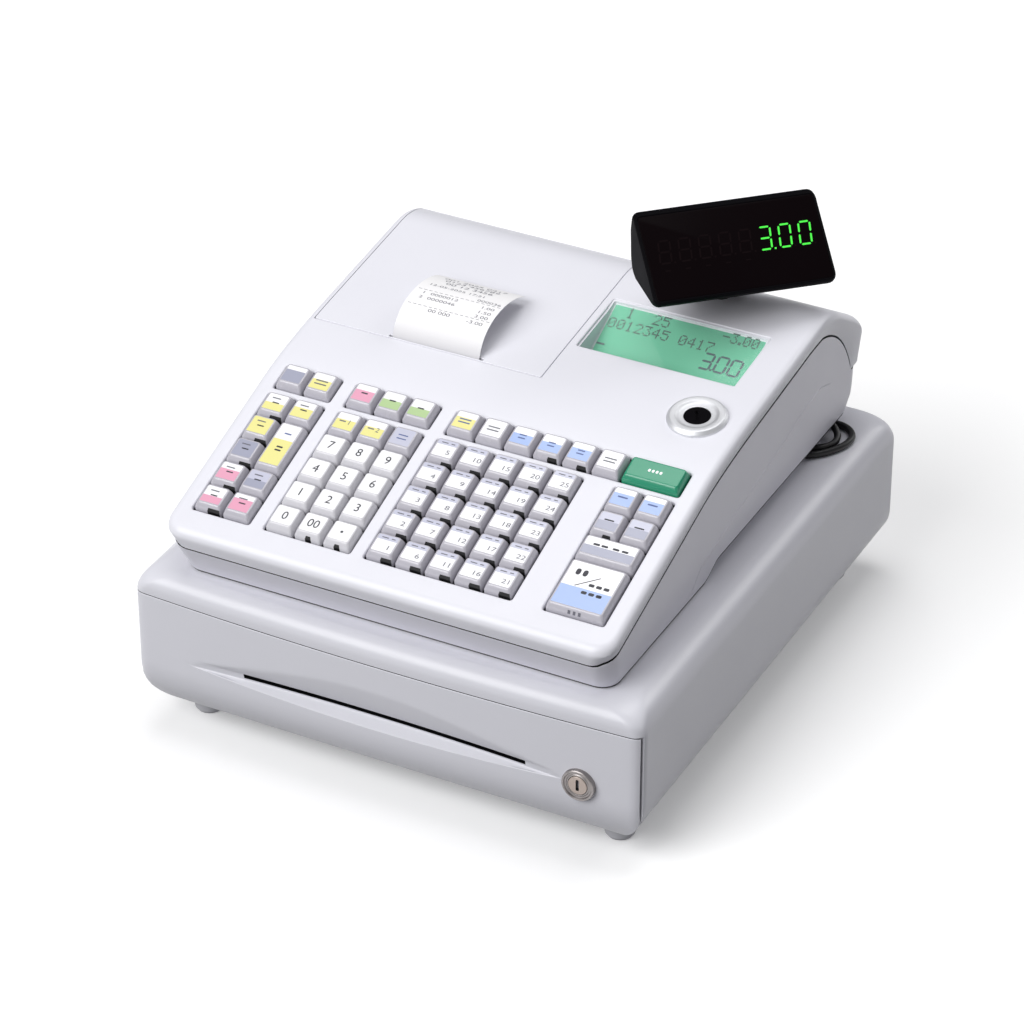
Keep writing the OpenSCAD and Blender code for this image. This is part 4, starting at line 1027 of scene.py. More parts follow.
g = Geo("lens")
g.loft([[on_face(x, a, o) for x, a in rrect(-54.5 + e, 2.0 + e, 54.5 - e, 56.0 - e, 2.5, n=6)] for o, e in ((-1.5, 0.0), (0.02, 0.0), (0.14, 0.12), (0.2, 0.4))])
FW = 0.25


def on_lens(u, v):
    return on_face(u, v, FW)


def outline_digit(ch, x, y, w, h, t, m):
    seven(g, ch, on_lens, x, y, w, h, t, m, slant=0.05, gap=0.5)


dh, dw = 14.2, 7.0
dig_y = 25.0
places = [14.7 + 12.4 * (i - 5) for i in range(8)]


def digit_at(i, ch, t, m):
    x = places[i]
    seven(g, ch, on_lens, x, dig_y, dw, dh, t, m, slant=0.12, gap=0.02)
    g.face(g.ring([on_lens(x + dw + 1.5, dig_y - 0.6), on_lens(x + dw + 2.6, dig_y - 0.6), on_lens(x + dw + 2.7, dig_y + 0.5), on_lens(x + dw + 1.6, dig_y + 0.5)]), m if ch in "83" and i in (0, 1, 2, 3, 4, 5) else "unlit")


for i in range(5):
    digit_at(i, "8", 1.0, "unlit")
for i, ch in zip((5, 6, 7), "300"):
    digit_at(i, ch, 1.15, "glow")
for i in range(5):
    a = places[i] + dw / 2
    g.face(g.ring([on_lens(a - 1.6, dig_y - 5.2), on_lens(a + 1.6, dig_y - 5.2), on_lens(a + 1.6, dig_y - 4.5), on_lens(a - 1.6, dig_y - 4.5)]), "unlit")
g.build("display_window", "display_head", ["display_lens"], angle=40, wn=False, recalc=False)

# ---------------------------------------------------------------- keys
def key_ring(hx, y0, y1, c, z, x, r):
    return [kp(x + a, row0 * 1.0 + r * py + b, z) for a, b in rrect(-hx, y0, hx, y1, c, n=4)]


def cap(g, x, r, w, d, m, h=3.6):
    W_, D_ = w * px, d * py
    lv = [(-3.6, W_ / 2 - 0.75, -D_ / 2 + 0.75, D_ / 2 - 0.75, 1.0), (-3.0, W_ / 2 - 0.7, -D_ / 2 + 0.7, D_ / 2 - 0.7, 1.1), (0.2, W_ / 2 - 0.85, -D_ / 2 + 0.9, D_ / 2 - 0.8, 1.3),
          (1.8, W_ / 2 - 1.5, -D_ / 2 + 2.1, D_ / 2 - 1.15, 1.5), (2.9, W_ / 2 - 1.95, -D_ / 2 + 3.0, D_ / 2 - 1.45, 1.7), (3.3, W_ / 2 - 2.15, -D_ / 2 + 3.4, D_ / 2 - 1.65, 1.7),
          (3.52, W_ / 2 - 2.45, -D_ / 2 + 3.75, D_ / 2 - 1.95, 1.6), (3.6, W_ / 2 - 2.9, -D_ / 2 + 4.2, D_ / 2 - 2.4, 1.4)]
    g.loft([key_ring(hx, y0, y1, c, z, x, r) for z, hx, y0, y1, c in lv], m)
    g.loft([[kp(x + a, row0 + r * py + b, z) for a, b in ((-2, -2), (2, -2), (2, 2), (-2, 2))] for z in (-7.6, -3.4)], m)


def plate(g, x, r, w, d, m, f0=0.0, f1=1.0, z=3.64, e=0.35, fx0=0.0, fx1=1.0):
    """Label under the cap's clear top: a part of its face between the fractions f0 and f1 of its depth."""
    W_, D_ = w * px, d * py
    hx, y0, y1 = W_ / 2 - 2.75 - e, -D_ / 2 + 4.0 + e, D_ / 2 - 2.2 - e
    ya, yb = y0 + (y1 - y0) * f0, y0 + (y1 - y0) * f1
    xa, xb = -hx + 2 * hx * fx0, -hx + 2 * hx * fx1
    c = 0.9
    pts = rrect(xa, ya, xb, yb, c if (f1 - f0) > 0.9 else 0.35, n=3)
    g.face(g.ring([kp(x + a, row0 + r * py + b, z) for a, b in pts]), m)


def key_mark(g, text, x, r, u, v, h, m="ink", z=3.7, width=1.0):
    put(g, text, lambda a, b: kp(x + u + a, row0 + r * py + v + b, z), h, m, width)


def dash(g, x, r, u, v, w, h, m="ink_soft", z=3.7):
    """A plain short bar where the photograph has a word."""
    g.face(g.ring([kp(x + u + a, row0 + r * py + v + b, z) for a, b in rrect(-w / 2, -h / 2, w / 2, h / 2, h * 0.3, n=2)]), m)


def patch(g, x, r, w, d, a0=0.08, a1=0.62, m="black"):
    """Painted shadow: a dark strip at the foot of the skirt and a dark sheet down in the gap under the cap, where shade
    falls.
    """
    W_, D_ = w * px, d * py

    def sk(u, z):
        t = (z - 0.2) / 1.6
        y = (-D_ / 2 + 0.9) * (1 - t) + (-D_ / 2 + 2.1) * t - 0.07
        return kp(x + u, row0 + r * py + y, z + 0.03)
    hx = W_ / 2 - 0.9
    xa, xb = a0 * hx, a1 * hx
    g.face(g.ring([sk(xa, 0.1), sk(xb, 0.1), sk(xb - 0.5, 1.7), sk(xa + 0.5, 1.7)]), m)
    g.face(g.ring([kp(x + xa, row0 + r * py - D_ / 2 + 0.6, -2.9), kp(x + xb, row0 + r * py - D_ / 2 + 0.6, -2.9), kp(x + xb, row0 + r * py - D_ / 2 + 0.8, 0.1), kp(x + xa, row0 + r * py - D_ / 2 + 0.8, 0.1)]), m)


def two_tone(g, x, r, w, d, upper_m, lower_m, split=0.5):
    plate(g, x, r, w, d, upper_m)
    plate(g, x, r, w, d, lower_m, 0.0, split, z=3.67)


num_at = {"key_0": (0, 0, "0"), "key_00": (1, 0, "00"), "key_dot": (2, 0, "."), "key_1": (0, 1, "1"), "key_2": (1, 1, "2"), "key_3": (2, 1, "3"), "key_4": (0, 2, "4"),
          "key_5": (1, 2, "5"), "key_6": (2, 2, "6"), "key_7": (0, 3, "7"), "key_8": (1, 3, "8"), "key_9": (2, 3, "9")}
for node, (c, r, t) in num_at.items():
    g = Geo("key_pale")
    x = colD + c * px
    cap(g, x, r, 1, 1, "key_pale")
    plate(g, x, r, 1, 1, "lab_white", e=0.05)
    if t == ".":
        g.face(g.ring([kp(x + 0.85 * math.cos(a), row0 + r * py + 0.6 + 0.85 * math.sin(a), 3.7) for a in [2 * math.pi * i / 16 for i in range(16)]]), "ink")
    else:
        key_mark(g, t, x, r, 0.2, 0.9, 5.6, "ink", width=0.95)
    if t in ("00", "."):
        patch(g, x, r, 1, 1, -0.15, 0.3)
    g.build(node + "_cap", node, [node], angle=40, wn=False, recalc=False)

# department keys: clear caps over white labels with a grey strip and their number
g = Geo("key_clear")
for c in range(5):
    for r in range(5):
        x = colF + c * px + 0.1 * c
        cap(g, x, r, 1, 1, "key_clear")
        plate(g, x, r, 1, 1, "lab_white")
        plate(g, x, r, 1, 1, "lab_pale", 0.72, 1.0, z=3.67)
        dash(g, x, r, -1.8, 5.2, 4.2, 0.7, "ink_soft")
        dash(g, x, r, 3.4, 5.2, 2.4, 0.7, "ink_soft")
        key_mark(g, str(c * 5 + r + 1), x, r, 3.0, -1.4, 3.2, "ink_soft", width=1.3)
        patch(g, x, r, 1, 1, 0.12, 0.98)
g.build("department_caps", "department_keys", ["department_keys"], angle=40, wn=False, recalc=False)

g = Geo("key_clear")
spec_l = [(0, 4, "lab_white", "lab_yellow", 0.45), (0, 3, "lab_yellow", "lab_yellow", 0.5), (0, 2, "lab_grey", "lab_grey", 0.5), (0, 1, "lab_white", "lab_pink", 0.62), (0, 0, "lab_white", "lab_pink", 0.42),
          (1, 4, "lab_white", "lab_yellow", 0.6), (1, 1, "lab_pale", "lab_grey", 0.45), (1, 0, "lab_white", "lab_pink", 0.72)]
for c, r, a, b, s in spec_l:
    x = colB + c * px
    cap(g, x, r, 1, 1, "key_clear")
    two_tone(g, x, r, 1, 1, a, b, s)
    dash(g, x, r, -0.6, 4.0, 5.6, 0.8, "ink_soft")
    dash(g, x, r, 0.4, 0.6, 4.4, 0.9, "ink")
    if c == 0:
        patch(g, x, r, 1, 1, 0.02, 0.98)
x = colB + px
cap(g, x, 2.5, 1, 2, "key_clear")
two_tone(g, x, 2.5, 1, 2, "lab_white", "lab_yellow", 0.62)
dash(g, x, 2.5, 0.5, 9.5, 4.4, 1.0, "ink_blue")
dash(g, x, 2.5, 0.5, -1.0, 4.0, 1.2, "ink")
dash(g, x, 2.5, 0.5, -3.6, 4.0, 1.2, "ink")
for c, (a, b, s) in enumerate((("lab_white", "lab_grey", 0.74), ("lab_white", "lab_yellow", 0.6))):
    x = colB + c * px
    cap(g, x, TOPR, 1, 1, "key_clear")
    two_tone(g, x, TOPR, 1, 1, a, b, s)
    if c:
        dash(g, x, TOPR, 0, 1.4, 8.0, 0.9, "ink_soft")
        dash(g, x, TOPR, 0, -1.2, 8.0, 0.9, "ink_soft")
g.build("left_caps", "left_keys", ["left_keys"], angle=40, wn=False, recalc=False)

g = Geo("key_clear")
for c, (a, b, s) in enumerate((("lab_white", "lab_pink", 0.66), ("lab_white", "lab_green", 0.52), ("lab_white", "lab_green", 0.48))):
    x = colD + c * px
    cap(g, x, TOPR, 1, 1, "key_clear")
    two_tone(g, x, TOPR, 1, 1, a, b, s)
    dash(g, x, TOPR, 0.2, 0.9, 4.2, 1.0, "ink")
for c, (a, b, s) in enumerate((("lab_white", "lab_yellow", 0.6), ("lab_white", "lab_yellow", 0.6), ("lab_pale", "lab_pale", 0.5))):
    x = colD + c * px
    cap(g, x, 4, 1, 1, "key_clear")
    two_tone(g, x, 4, 1, 1, a, b, s)
    if c < 2:
        key_mark(g, str(c + 1), x, 4, 2.4, 0.8, 3.4, "ink_soft")
        dash(g, x, 4, -2.0, 0.8, 4.2, 0.9, "ink_soft")
    else:
        dash(g, x, 4, 0, 2.2, 6.2, 0.8, "ink_blue")
        dash(g, x, 4, 0, -0.6, 6.2, 0.8, "ink_blue")
top_e = [("lab_white", "lab_yellow", 0.66), ("lab_white", "lab_white", 0.5), ("lab_white", "lab_blue", 0.6), ("lab_white", "lab_blue", 0.55), ("lab_white", "lab_blue", 0.66), ("lab_white", "lab_white", 0.5)]
for c, (a, b, s) in enumerate(top_e):
    x = colE + c * px
    cap(g, x, TOPR, 1, 1, "key_clear")
    two_tone(g, x, TOPR, 1, 1, a, b, s)
    dash(g, x, TOPR, 0, 1.6, 7.6 if c in (0, 1, 5) else 4.6, 0.9, "ink_soft" if b == "lab_white" else "ink_blue")
    dash(g, x, TOPR, 0, -0.8, 7.6 if c in (0, 1, 5) else 4.6, 0.9, "ink_soft" if b == "lab_white" else "ink_blue")
    if c in (3, 4):
        patch(g, x, TOPR, 1, 1, 0.1, 0.85)
g.build("upper_caps", "upper_keys", ["upper_keys"], angle=40, wn=False, recalc=False)

g = Geo("key_clear")
for c in (0, 1):
    x = colG + c * px
    cap(g, x, 4, 1, 1, "key_clear")
    two_tone(g, x, 4, 1, 1, "lab_white", "lab_blue", 0.7)
    dash(g, x, 4, 0, 0.8, 6.2, 1.1, "ink_blue")
    cap(g, x, 3, 1, 1, "key_clear")
    two_tone(g, x, 3, 1, 1, "lab_pale", "lab_grey", 0.5)
    dash(g, x, 3, 0, 1.8, 6.0, 1.0, "ink")
    if c == 0:
        patch(g, x, 3, 1, 1, -0.05, 0.6)
g.build("right_caps", "right_keys", ["right_keys"], angle=40, wn=False, recalc=False)

g = Geo("key_clear")
x = colG + px / 2
cap(g, x, 2, 2, 1, "key_clear")
two_tone(g, x, 2, 2, 1, "lab_white", "lab_grey", 0.5)
for u in (-8.4, -3.4, 3.6, 9.2):
    dash(g, x, 2, u, 2.2, 4.0, 1.5, "ink")
g.build("subtotal_cap", "key_subtotal", ["key_subtotal"], angle=40, wn=False, recalc=False)

g = Geo("key_clear")
cap(g, x, 0.5, 2, 2, "key_clear")
two_tone(g, x, 0.5, 2, 2, "lab_white", "lab_blue", 0.44)
dash(g, x, 0.5, -9.6, 9.4, 2.9, 4.6, "ink")
dash(g, x, 0.5, -5.2, 9.4, 2.9, 4.6, "ink")
a, b = (-7.6, -0.4), (4.6, 8.8)
dx, dy = b[0] - a[0], b[1] - a[1]
n_ = math.hypot(dx, dy)
ox, oy = -dy / n_ * 0.3, dx / n_ * 0.3
g.face(g.ring([kp(x + p, row0 + 0.5 * py + q, 3.7) for p, q in ((a[0] - ox, a[1] - oy), (b[0] - ox, b[1] - oy), (b[0] + ox, b[1] + oy), (a[0] + ox, a[1] + oy))]), "ink")
for u in (-0.2, 4.4, 9.0):
    dash(g, x, 0.5, u + 2, 2.4, 3.4, 2.1, "ink")
    dash(g, x, 0.5, u, -3.6, 3.4, 2.1, "ink")
dash(g, x, 0.5, 9.4, -3.6, 2.6, 2.1, "ink")
# three plain grey bars drawn flat on the front skirt where it has ribs
for u in (-3.2, 0, 3.2):
    D_ = 2 * py
    g.face(g.ring([kp(x + u + aa, row0 + 0.5 * py - D_ / 2 + (0.85 + 0.78 * (zz - 0.2)) - 0.08, zz + 0.04) for aa, zz in ((-0.8, 0.5), (0.8, 0.5), (0.8, 2.2), (-0.8, 2.2))]), "ink_soft")
g.build("total_cap", "key_total", ["key_total"], angle=40, wn=False, recalc=False)

g = Geo("key_green")
cap(g, x, TOPR, 2, 1, "key_green")
plate(g, x, TOPR, 2, 1, "key_green", z=3.63)
for u in (-3.6, -1.2, 1.2, 3.6):
    dash(g, x, TOPR, u, 0.8, 1.5, 2.2, "lab_white")
g.build("green_cap", "key_green", ["key_green"], angle=40, wn=False, recalc=False)


# ---------------------------------------------------------------- cabinet shell
CH, HW, CD, WL = 109.6, 165.0, 363.6, 2.6


def arc_in(r, h):
    """How far a round edge of radius r has drawn in at h past its start."""
    h = min(max(h, 0.0), r)
    return r - math.sqrt(max(r * r - h * h, 0.0))


def half_at(z, o=0.0):
    return HW - o - max(arc_in(38 - o, 48 - z), arc_in(16 - o, z - 93.6))


SIDE_Y = [11, 14.4, 18, 24, 30, 45, 70, 100, 140, 180, 220, 260, 300, 330, 345]
PH_OUT = [90, 78, 66, 54, 40, 26.744, 17.9, 9.0, 0]
PH_IN = [90, 80, 70, 60, 50, 41.81, 27.1, 13.4, 0]
PH_BACK = [0, 15, 30, 45, 60, 75, 90]


def closed_ring(z, o, phis):
    hx = half_at(z, o)
    fi, bi = arc_in(11 - o, z - 98.6), arc_in(max(8 - o * 0.5, 3), z - 101.6)
    r = 8 - o + 0.9 * (HW - o - hx)
    yf, yb = o + fi, CD - o - bi
    rad = [math.radians(a) for a in phis]
    xs = [(hx - r) * i / 14 for i in range(-13, 14)]
    left = [(-(hx - r) - r * math.cos(a), yf + r - r * math.sin(a)) for a in rad[::-1]]
    front = [(x, yf - 4.4 * (1 - (x / (hx - r)) ** 2)) for x in xs]
    rt = [(hx - r + r * math.cos(a), yf + r - r * math.sin(a)) for a in rad]
    sy = [yf + r + (y - 8) / (355.6 - 8) * (yb - r - yf - r) for y in SIDE_Y]
    side = [(hx, y) for y in sy]
    br = [(hx - r + r * math.cos(math.radians(a)), yb - r + r * math.sin(math.radians(a))) for a in PH_BACK]
    back = [((hx - r) * (1 - i / 6), yb) for i in range(1, 12)]
    bl = [(-p[0], p[1]) for p in br[::-1]]
    ls = [(-p[0], p[1]) for p in side[::-1]]
    return [(p[0], p[1], z) for p in left + front + rt + side + br + back + bl + ls]


n_left = len(PH_OUT)
i_r0 = n_left + 27 + 5          # first column right of the opening, at y 4.4
i_l0 = 3                        # last one on the left, counted from the start of the left corner


def open_ring(z, o):
    """Columns of the same ring from y 4.4 on the right round the back to y 4.4 on the left."""
    hx = half_at(z, o)
    rb = 8 - o

    def X(y):
        if y < 8:
            return min(hx, 157 + math.sqrt(max(rb * rb - (8 - y) ** 2, 0)))
        return hx
    ys = [8 - 8 * math.sin(math.radians(a)) for a in PH_OUT[5:]] + SIDE_Y
    yb = CD - o - arc_in(20, 30 - z)
    rt = [(X(y), y) for y in ys]
    br = [(min(hx, 157 + rb * math.cos(math.radians(a))), min(355.6 + rb * math.sin(math.radians(a)), yb)) for a in PH_BACK]
    bx = min(hx, 157)
    back = [(bx * (1 - i / 6), yb) for i in range(1, 12)]
    bl = [(-p[0], p[1]) for p in br[::-1]]
    lt = [(-p[0], p[1]) for p in rt[::-1]]
    return [(p[0], p[1], z) for p in rt + br + back + bl + lt]


g = Geo("cabinet")
SEAM_Z = 94.9
tops = {0.0: [SEAM_Z, 96.6, 98.6, 100.2, 101.6, 103, 104.3, 105.5, 106.5, 107.4, 108.15, 108.75, 109.15, 109.4, 109.54, 109.6],
        WL: [SEAM_Z, 98, 100.5, 102.8, 104.6, 106.0, 106.8, 107.0]}
sub_cols = {}
rings_all = {}
for o, zs in tops.items():
    ids = [g.ring(closed_ring(z, o, PH_OUT if o == 0 else PH_IN)) for z in zs]
    for a, b in zip(ids, ids[1:]):
        g.strip(a, b)
    cap_pts = closed_ring(zs[-1], o, PH_OUT if o == 0 else PH_IN)
    tr, _ = cdt([[(p[0], p[1]) for p in cap_pts]], [])
    for t in tr:
        g.face([ids[-1][i] for i in t])
    n = len(ids[0])
    sub = [ids[0][i % n] for i in range(i_r0, n + i_l0 + 1)]
    prev = sub
    for z in (90, 80, 65, 54, 48, 44, 40, 37, 34.4):
        cur = g.ring(open_ring(z, o))
        g.strip(prev, cur, closed=False)
        rings_all[(o, z)] = cur
        prev = cur
    k = 5                       # columns from y 4.4 to y 14.4
    low = prev[k:len(prev) - k]
    for z in (31, 28, 25, 22):
        cur = g.ring(open_ring(z, o)[k:len(prev) - k])
        g.strip(low, cur, closed=False)
        rings_all[(o, z)] = cur
        low = cur
    rings_all[(o, "top")] = ids[0]
    rings_all[(o, "sub")] = sub
    rings_all[(o, "mid")] = prev
    rings_all[(o, "low")] = low
a, b = rings_all[(0.0, "top")], rings_all[(WL, "top")]
n = len(a)
front_cols = [i % n for i in range(i_l0, i_r0 + 1)]
for i, j in zip(front_cols, front_cols[1:]):
    g.face((a[i], a[j], b[j], b[i]))
# edges of the opening, and the lower rim
for end in (0, -1):
    zs = ["sub", 90, 80, 65, 54, 48, 44, 40, 37, 34.4]
    for z0, z1 in zip(zs, zs[1:]):
        g.face((rings_all[(0.0, z0)][end], rings_all[(0.0, z1)][end], rings_all[(WL, z1)][end], rings_all[(WL, z0)][end]))
    cols = range(0, 5) if end == 0 else range(-1, -6, -1)
    for c in cols:
        d = c + (1 if end == 0 else -1)
        A, B = rings_all[(0.0, "mid")], rings_all[(WL, "mid")]
        g.face((A[c], A[d], B[d], B[c]))
    # front edges of the low part
    zz = [34.4, 31, 28, 25, 22]
    for z0, z1 in zip(zz, zz[1:]):
        p = 5 if end == 0 else -6
        c0 = rings_all[(0.0, z0)][p if z0 == 34.4 else end]
        c1 = rings_all[(0.0, z1)][end]
        e0 = rings_all[(WL, z0)][p if z0 == 34.4 else end]
        e1 = rings_all[(WL, z1)][end]
        g.face((c0, c1, e1, e0))
g.strip(rings_all[(0.0, "low")], rings_all[(WL, "low")], closed=False)
shell = g.build("cabinet_housing", "root", ["cabinet_shell"], angle=32, bevel=0.35)

# ---------------------------------------------------------------- drawer front
DFX = 163.93


def plan_y(x):
    x = abs(x)
    if x > 157:
        return 8 - math.sqrt(max(64 - (x - 157) ** 2, 0))
    return -4.4 * (1 - min(x / 156.2, 1) ** 2)


def face_y(x, z):
    ins = arc_in(38, 48 - z)
    p = plan_y(x)
    return -4.4 + ins + (p + 4.4) * (1 - ins / 18.4)


_sc = bez([-0.9, 58.75], [-4.2, 63.5], [-7.6, 80], 30)
_scz, _scr = [58.75] + [p[1] for p in _sc[1:]], [-0.9] + [p[0] for p in _sc[1:]]
RAMP_Z, RAMP_S = 54.345, 0.6


def scoop_y(x, z):
    """The finger scoop: a lower ramp, a short wall with the slot in it, a long upper slope; all turned on a wide arc."""
    if z < RAMP_Z:
        R = 1860 - 0.441 - (RAMP_Z - z) / RAMP_S
    elif z < 54.85:
        R = 1860 - 0.85 + math.sqrt(0.65 ** 2 - (54.85 - z) ** 2)
    elif z <= 58.75:
        R = 1860 - 0.2 - 0.7 * (z - 54.85) / 3.9
    else:
        R = 1860 + float(np.interp(z, _scz, _scr)) - max(0, z - 80) * 0.9
    return 2.4 - 1860 + math.sqrt(R * R - (x + 8) ** 2)


def ramp_foot(x):
    """Height at which the ramp runs out into the plain face."""
    R = math.sqrt((plan_y(x) + 1857.6) ** 2 + (x + 8) ** 2)
    return min(RAMP_Z - (1859.559 - R) * RAMP_S, RAMP_Z - 0.3)


def smax(a, b, k=0.3):
    h = max(k - abs(a - b), 0) / k
    return max(a, b) + h * h * k * 0.25


cols = sorted(set([-162.9, -161.8, -159.8, -157, -152, -146, -140, -134, -129] + [-125 + 2.5 * i for i in range(14)] + [-91] + [-88 + 5.5 * i for i in range(33)] + [93] + [95.5 + 2.5 * i for i in range(13)]
                  + [129, 134, 140, 146, 152, 157, 159.8, 161.8, 162.9]))
DFX = 162.9
x_a, x_b = cols.index(-91), cols.index(93)
g = Geo("cabinet")
DF_T = 94.1


def df_row(z, kind, inset=0.0):
    """One row of the front: kind 0 the plain face, 1 the scooped face; inset draws an edge back. z may vary with x."""
    out = []
    for x in cols:
        zz = z(x) if callable(z) else z
        hx = min(DFX, HW - arc_in(38, 48 - zz))
        xx = x * hx / DFX
        y = face_y(xx, zz)
        if kind == 1:
            y = smax(y, scoop_y(xx, zz))
        out.append((xx, y + inset * min(1, max(0, (4 - y) / 3)), zz))
    return out


def side_pts(row, ye):
    """Adds the joint's groove at both ends of a row: a step inwards, then back to the wall behind."""
    (x0, y0, z0), (x1, y1, z1) = row[0], row[-1]
    ys = min(y0 + 0.06, ye - 0.5)
    if ye > 5:
        return [(x0, ye, z0), (x0, (2 * ye + y0) / 3, z0), (x0, (ye + 2 * y0) / 3, z0)] + row + [(x1, (ye + 2 * y1) / 3, z1), (x1, (2 * ye + y1) / 3, z1), (x1, ye, z1)]
    return [(x0 + 1.4, ye, z0), (x0 + 1.4, y0 + 0.5, z0), (x0 + 0.2, ys, z0)] + row + [(x1 - 0.2, ys, z1), (x1 - 1.4, y1 + 0.5, z1), (x1 - 1.4, ye, z1)]


def ramp_row(f):
    """Between the plain face under the scoop and the root of the ramp."""
    return lambda x: ramp_foot(x) + f * (RAMP_Z - ramp_foot(x))


def foot_row(d):
    return lambda x: ramp_foot(x) + d * min(1.0, (RAMP_Z - ramp_foot(x)) / 1.2)


def under_row(f):
    return lambda x: 48.6 + f * (ramp_foot(x) - 0.6 - 48.6)


OFF = 3
rows = [(DF_T, 0, 0.5), (DF_T - 0.08, 0, 0.2), (DF_T - 0.25, 0, 0.04), (DF_T - 0.5, 0, 0.0), (90, 0, 0), (86, 0, 0), (83, 1, 0)] + [(81 - 1.1 * i, 1, 0) for i in range(19)]
rows += [(60.3, 1, 0), (59.4, 1, 0), (58.8, 1, 0), (57.8, 1, 0), (56.8, 1, 0), (55.8, 1, 0), (55.3, 1, 0), (54.85, 1, 0), (54.6, 1, 0), (RAMP_Z, 1, 0), (ramp_row(0.8), 1, 0), (ramp_row(0.6), 1, 0), (ramp_row(0.42), 1, 0),
         (ramp_row(0.26), 1, 0), (foot_row(0.5), 1, 0), (foot_row(0.2), 1, 0), (foot_row(0.0), 1, 0), (foot_row(-0.2), 1, 0), (foot_row(-0.5), 1, 0), (under_row(1.0), 0, 0), (under_row(0.66), 0, 0), (under_row(0.33), 0, 0), (48.6, 0, 0),
         (47, 0, 0), (45.2, 0, 0), (43, 0, 0), (40.5, 0, 0), (38, 0, 0), (36, 0, 0), (34, 0, 0)]
r_top = rows.index((58.8, 1, 0))
r_bot = rows.index((55.8, 1, 0))
ids = [g.ring(side_pts(df_row(*r), 4.0)) for r in rows]
# painted shadow: the joint's groove faces at both ends of each row are near-black, where the joint with the cabinet
# lies in shade
for k, (a, b) in enumerate(zip(ids, ids[1:])):
    for i in range(len(a) - 1):
        c = i - OFF
        if r_top <= k < r_bot and x_a <= c < x_b:
            continue
        g.face((a[i], a[i + 1], b[i + 1], b[i]), "black" if i < 2 or i >= len(a) - 3 else "cabinet")
# slot walls through to the back and on as a short liner, then the back and top; the slot's walls and liner are painted
# shadow, near-black where the slot lies in shade
zs_slot = [58.8, 57.8, 56.8, 55.8]
SY = 12.8
top_b = g.ring([(x, SY, 58.8) for x in cols[x_a:x_b + 1]])
bot_b = g.ring([(x, SY, 55.8) for x in cols[x_a:x_b + 1]])
top_o = g.ring([(x, SY, 59.8) for x in cols[x_a:x_b + 1]])
bot_o = g.ring([(x, SY, 54.8) for x in cols[x_a:x_b + 1]])
top_r = g.ring([(x, 4.0, 59.8) for x in cols[x_a:x_b + 1]])
bot_r = g.ring([(x, 4.0, 54.8) for x in cols[x_a:x_b + 1]])
g.strip(ids[r_top][OFF + x_a:OFF + x_b + 1], top_b, "black", closed=False)
g.strip(bot_b, ids[r_bot][OFF + x_a:OFF + x_b + 1], "black", closed=False)
g.strip(top_b, top_o, "black", closed=False)
g.strip(bot_o, bot_b, "black", closed=False)
g.strip(top_o, top_r, "black", closed=False)
g.strip(bot_r, bot_o, "black", closed=False)
for c, sgn in ((x_a, -1), (x_b, 1)):
    e = 0 if c == x_a else -1
    col = [ids[k][OFF + c] for k in range(r_top, r_bot + 1)]
    bk = [top_b[e]] + g.ring([(cols[c], SY, z) for z in zs_slot[1:-1]]) + [bot_b[e]]
    g.strip(col, bk, "black", closed=False)
    xo = cols[c] + sgn
    o = g.ring([(xo, SY, 59.8), (xo, SY, 54.8), (xo, 4.0, 54.8), (xo, 4.0, 59.8)])
    g.face([top_o[e], o[0], o[1], bot_o[e], bot_b[e]] + bk[::-1][1:], "black")
    g.face((o[0], o[1], o[2], o[3]), "black")
    g.face((top_o[e], o[0], o[3], top_r[e]), "black")
    g.face((bot_o[e], o[1], o[2], bot_r[e]), "black")
bt = g.ring([(x * 161.5 / DFX, 4.0, DF_T) for x in cols])
bb = g.ring([(x * 160.93 / DFX, 4.0, 34) for x in cols])
ub = g.ring([(x * 161.5 / DFX, 4.0, 59.8) for x in cols])
lb_ = g.ring([(x * 161.5 / DFX, 4.0, 54.8) for x in cols])
# painted shadow: the top face, hidden in the gap under the cabinet's edge, and the ends of the top row are near-black
g.strip(ids[0][OFF:-OFF], bt, "black", closed=False)
for e in (0, -1):
    r0 = ids[0]
    g.face((r0[0], r0[1], r0[2], r0[3]) if e == 0 else (r0[-4], r0[-3], r0[-2], r0[-1]), "black")
g.strip(bt, ub, closed=False)
for i in range(len(cols) - 1):
    if not x_a <= i < x_b:
        g.face((ub[i], ub[i + 1], lb_[i + 1], lb_[i]))
g.strip(lb_, bb, closed=False)
# lower lip, under the cabinet's edge
lip_z = [34, 31.5, 29, 26.5, 24, 21.5, 19.4, 17.4, 15.6]
lip_rows = [g.ring(side_pts(df_row(z - (0.0001 if z == 34 else 0), 0, 0), 13.9)) for z in lip_z]
for a, b in zip(lip_rows, lip_rows[1:]):
    g.strip(a, b, closed=False)
lip_back = [g.ring([(x * min(DFX, HW - arc_in(38, 48 - z)) / DFX, 13.9, z) for x in cols]) for z in lip_z]
for a, b in zip(lip_back, lip_back[1:]):
    g.strip(b, a, closed=False)
g.strip(bb, lip_back[0], closed=False)
g.strip(lip_back[-1], lip_rows[-1][OFF:-OFF], closed=False)
dfront = g.build("drawer_face", "drawer", ["drawer_front"], angle=30)

# ---------------------------------------------------------------- drawer lock
LK = (127.2, 54.5)


def on_lock(r, a, w):
    return (LK[0] + r * math.cos(a), -w, LK[1] + r * math.sin(a))


def turned(g, prof, on, n=64):
    """Closed ring section turned round an axis."""
    ids = [g.ring([on(r, 2 * math.pi * i / n, w) for i in range(n)]) for r, w in prof]
    for a, b in zip(ids, ids[1:] + ids[:1]):
        g.strip(a, b)


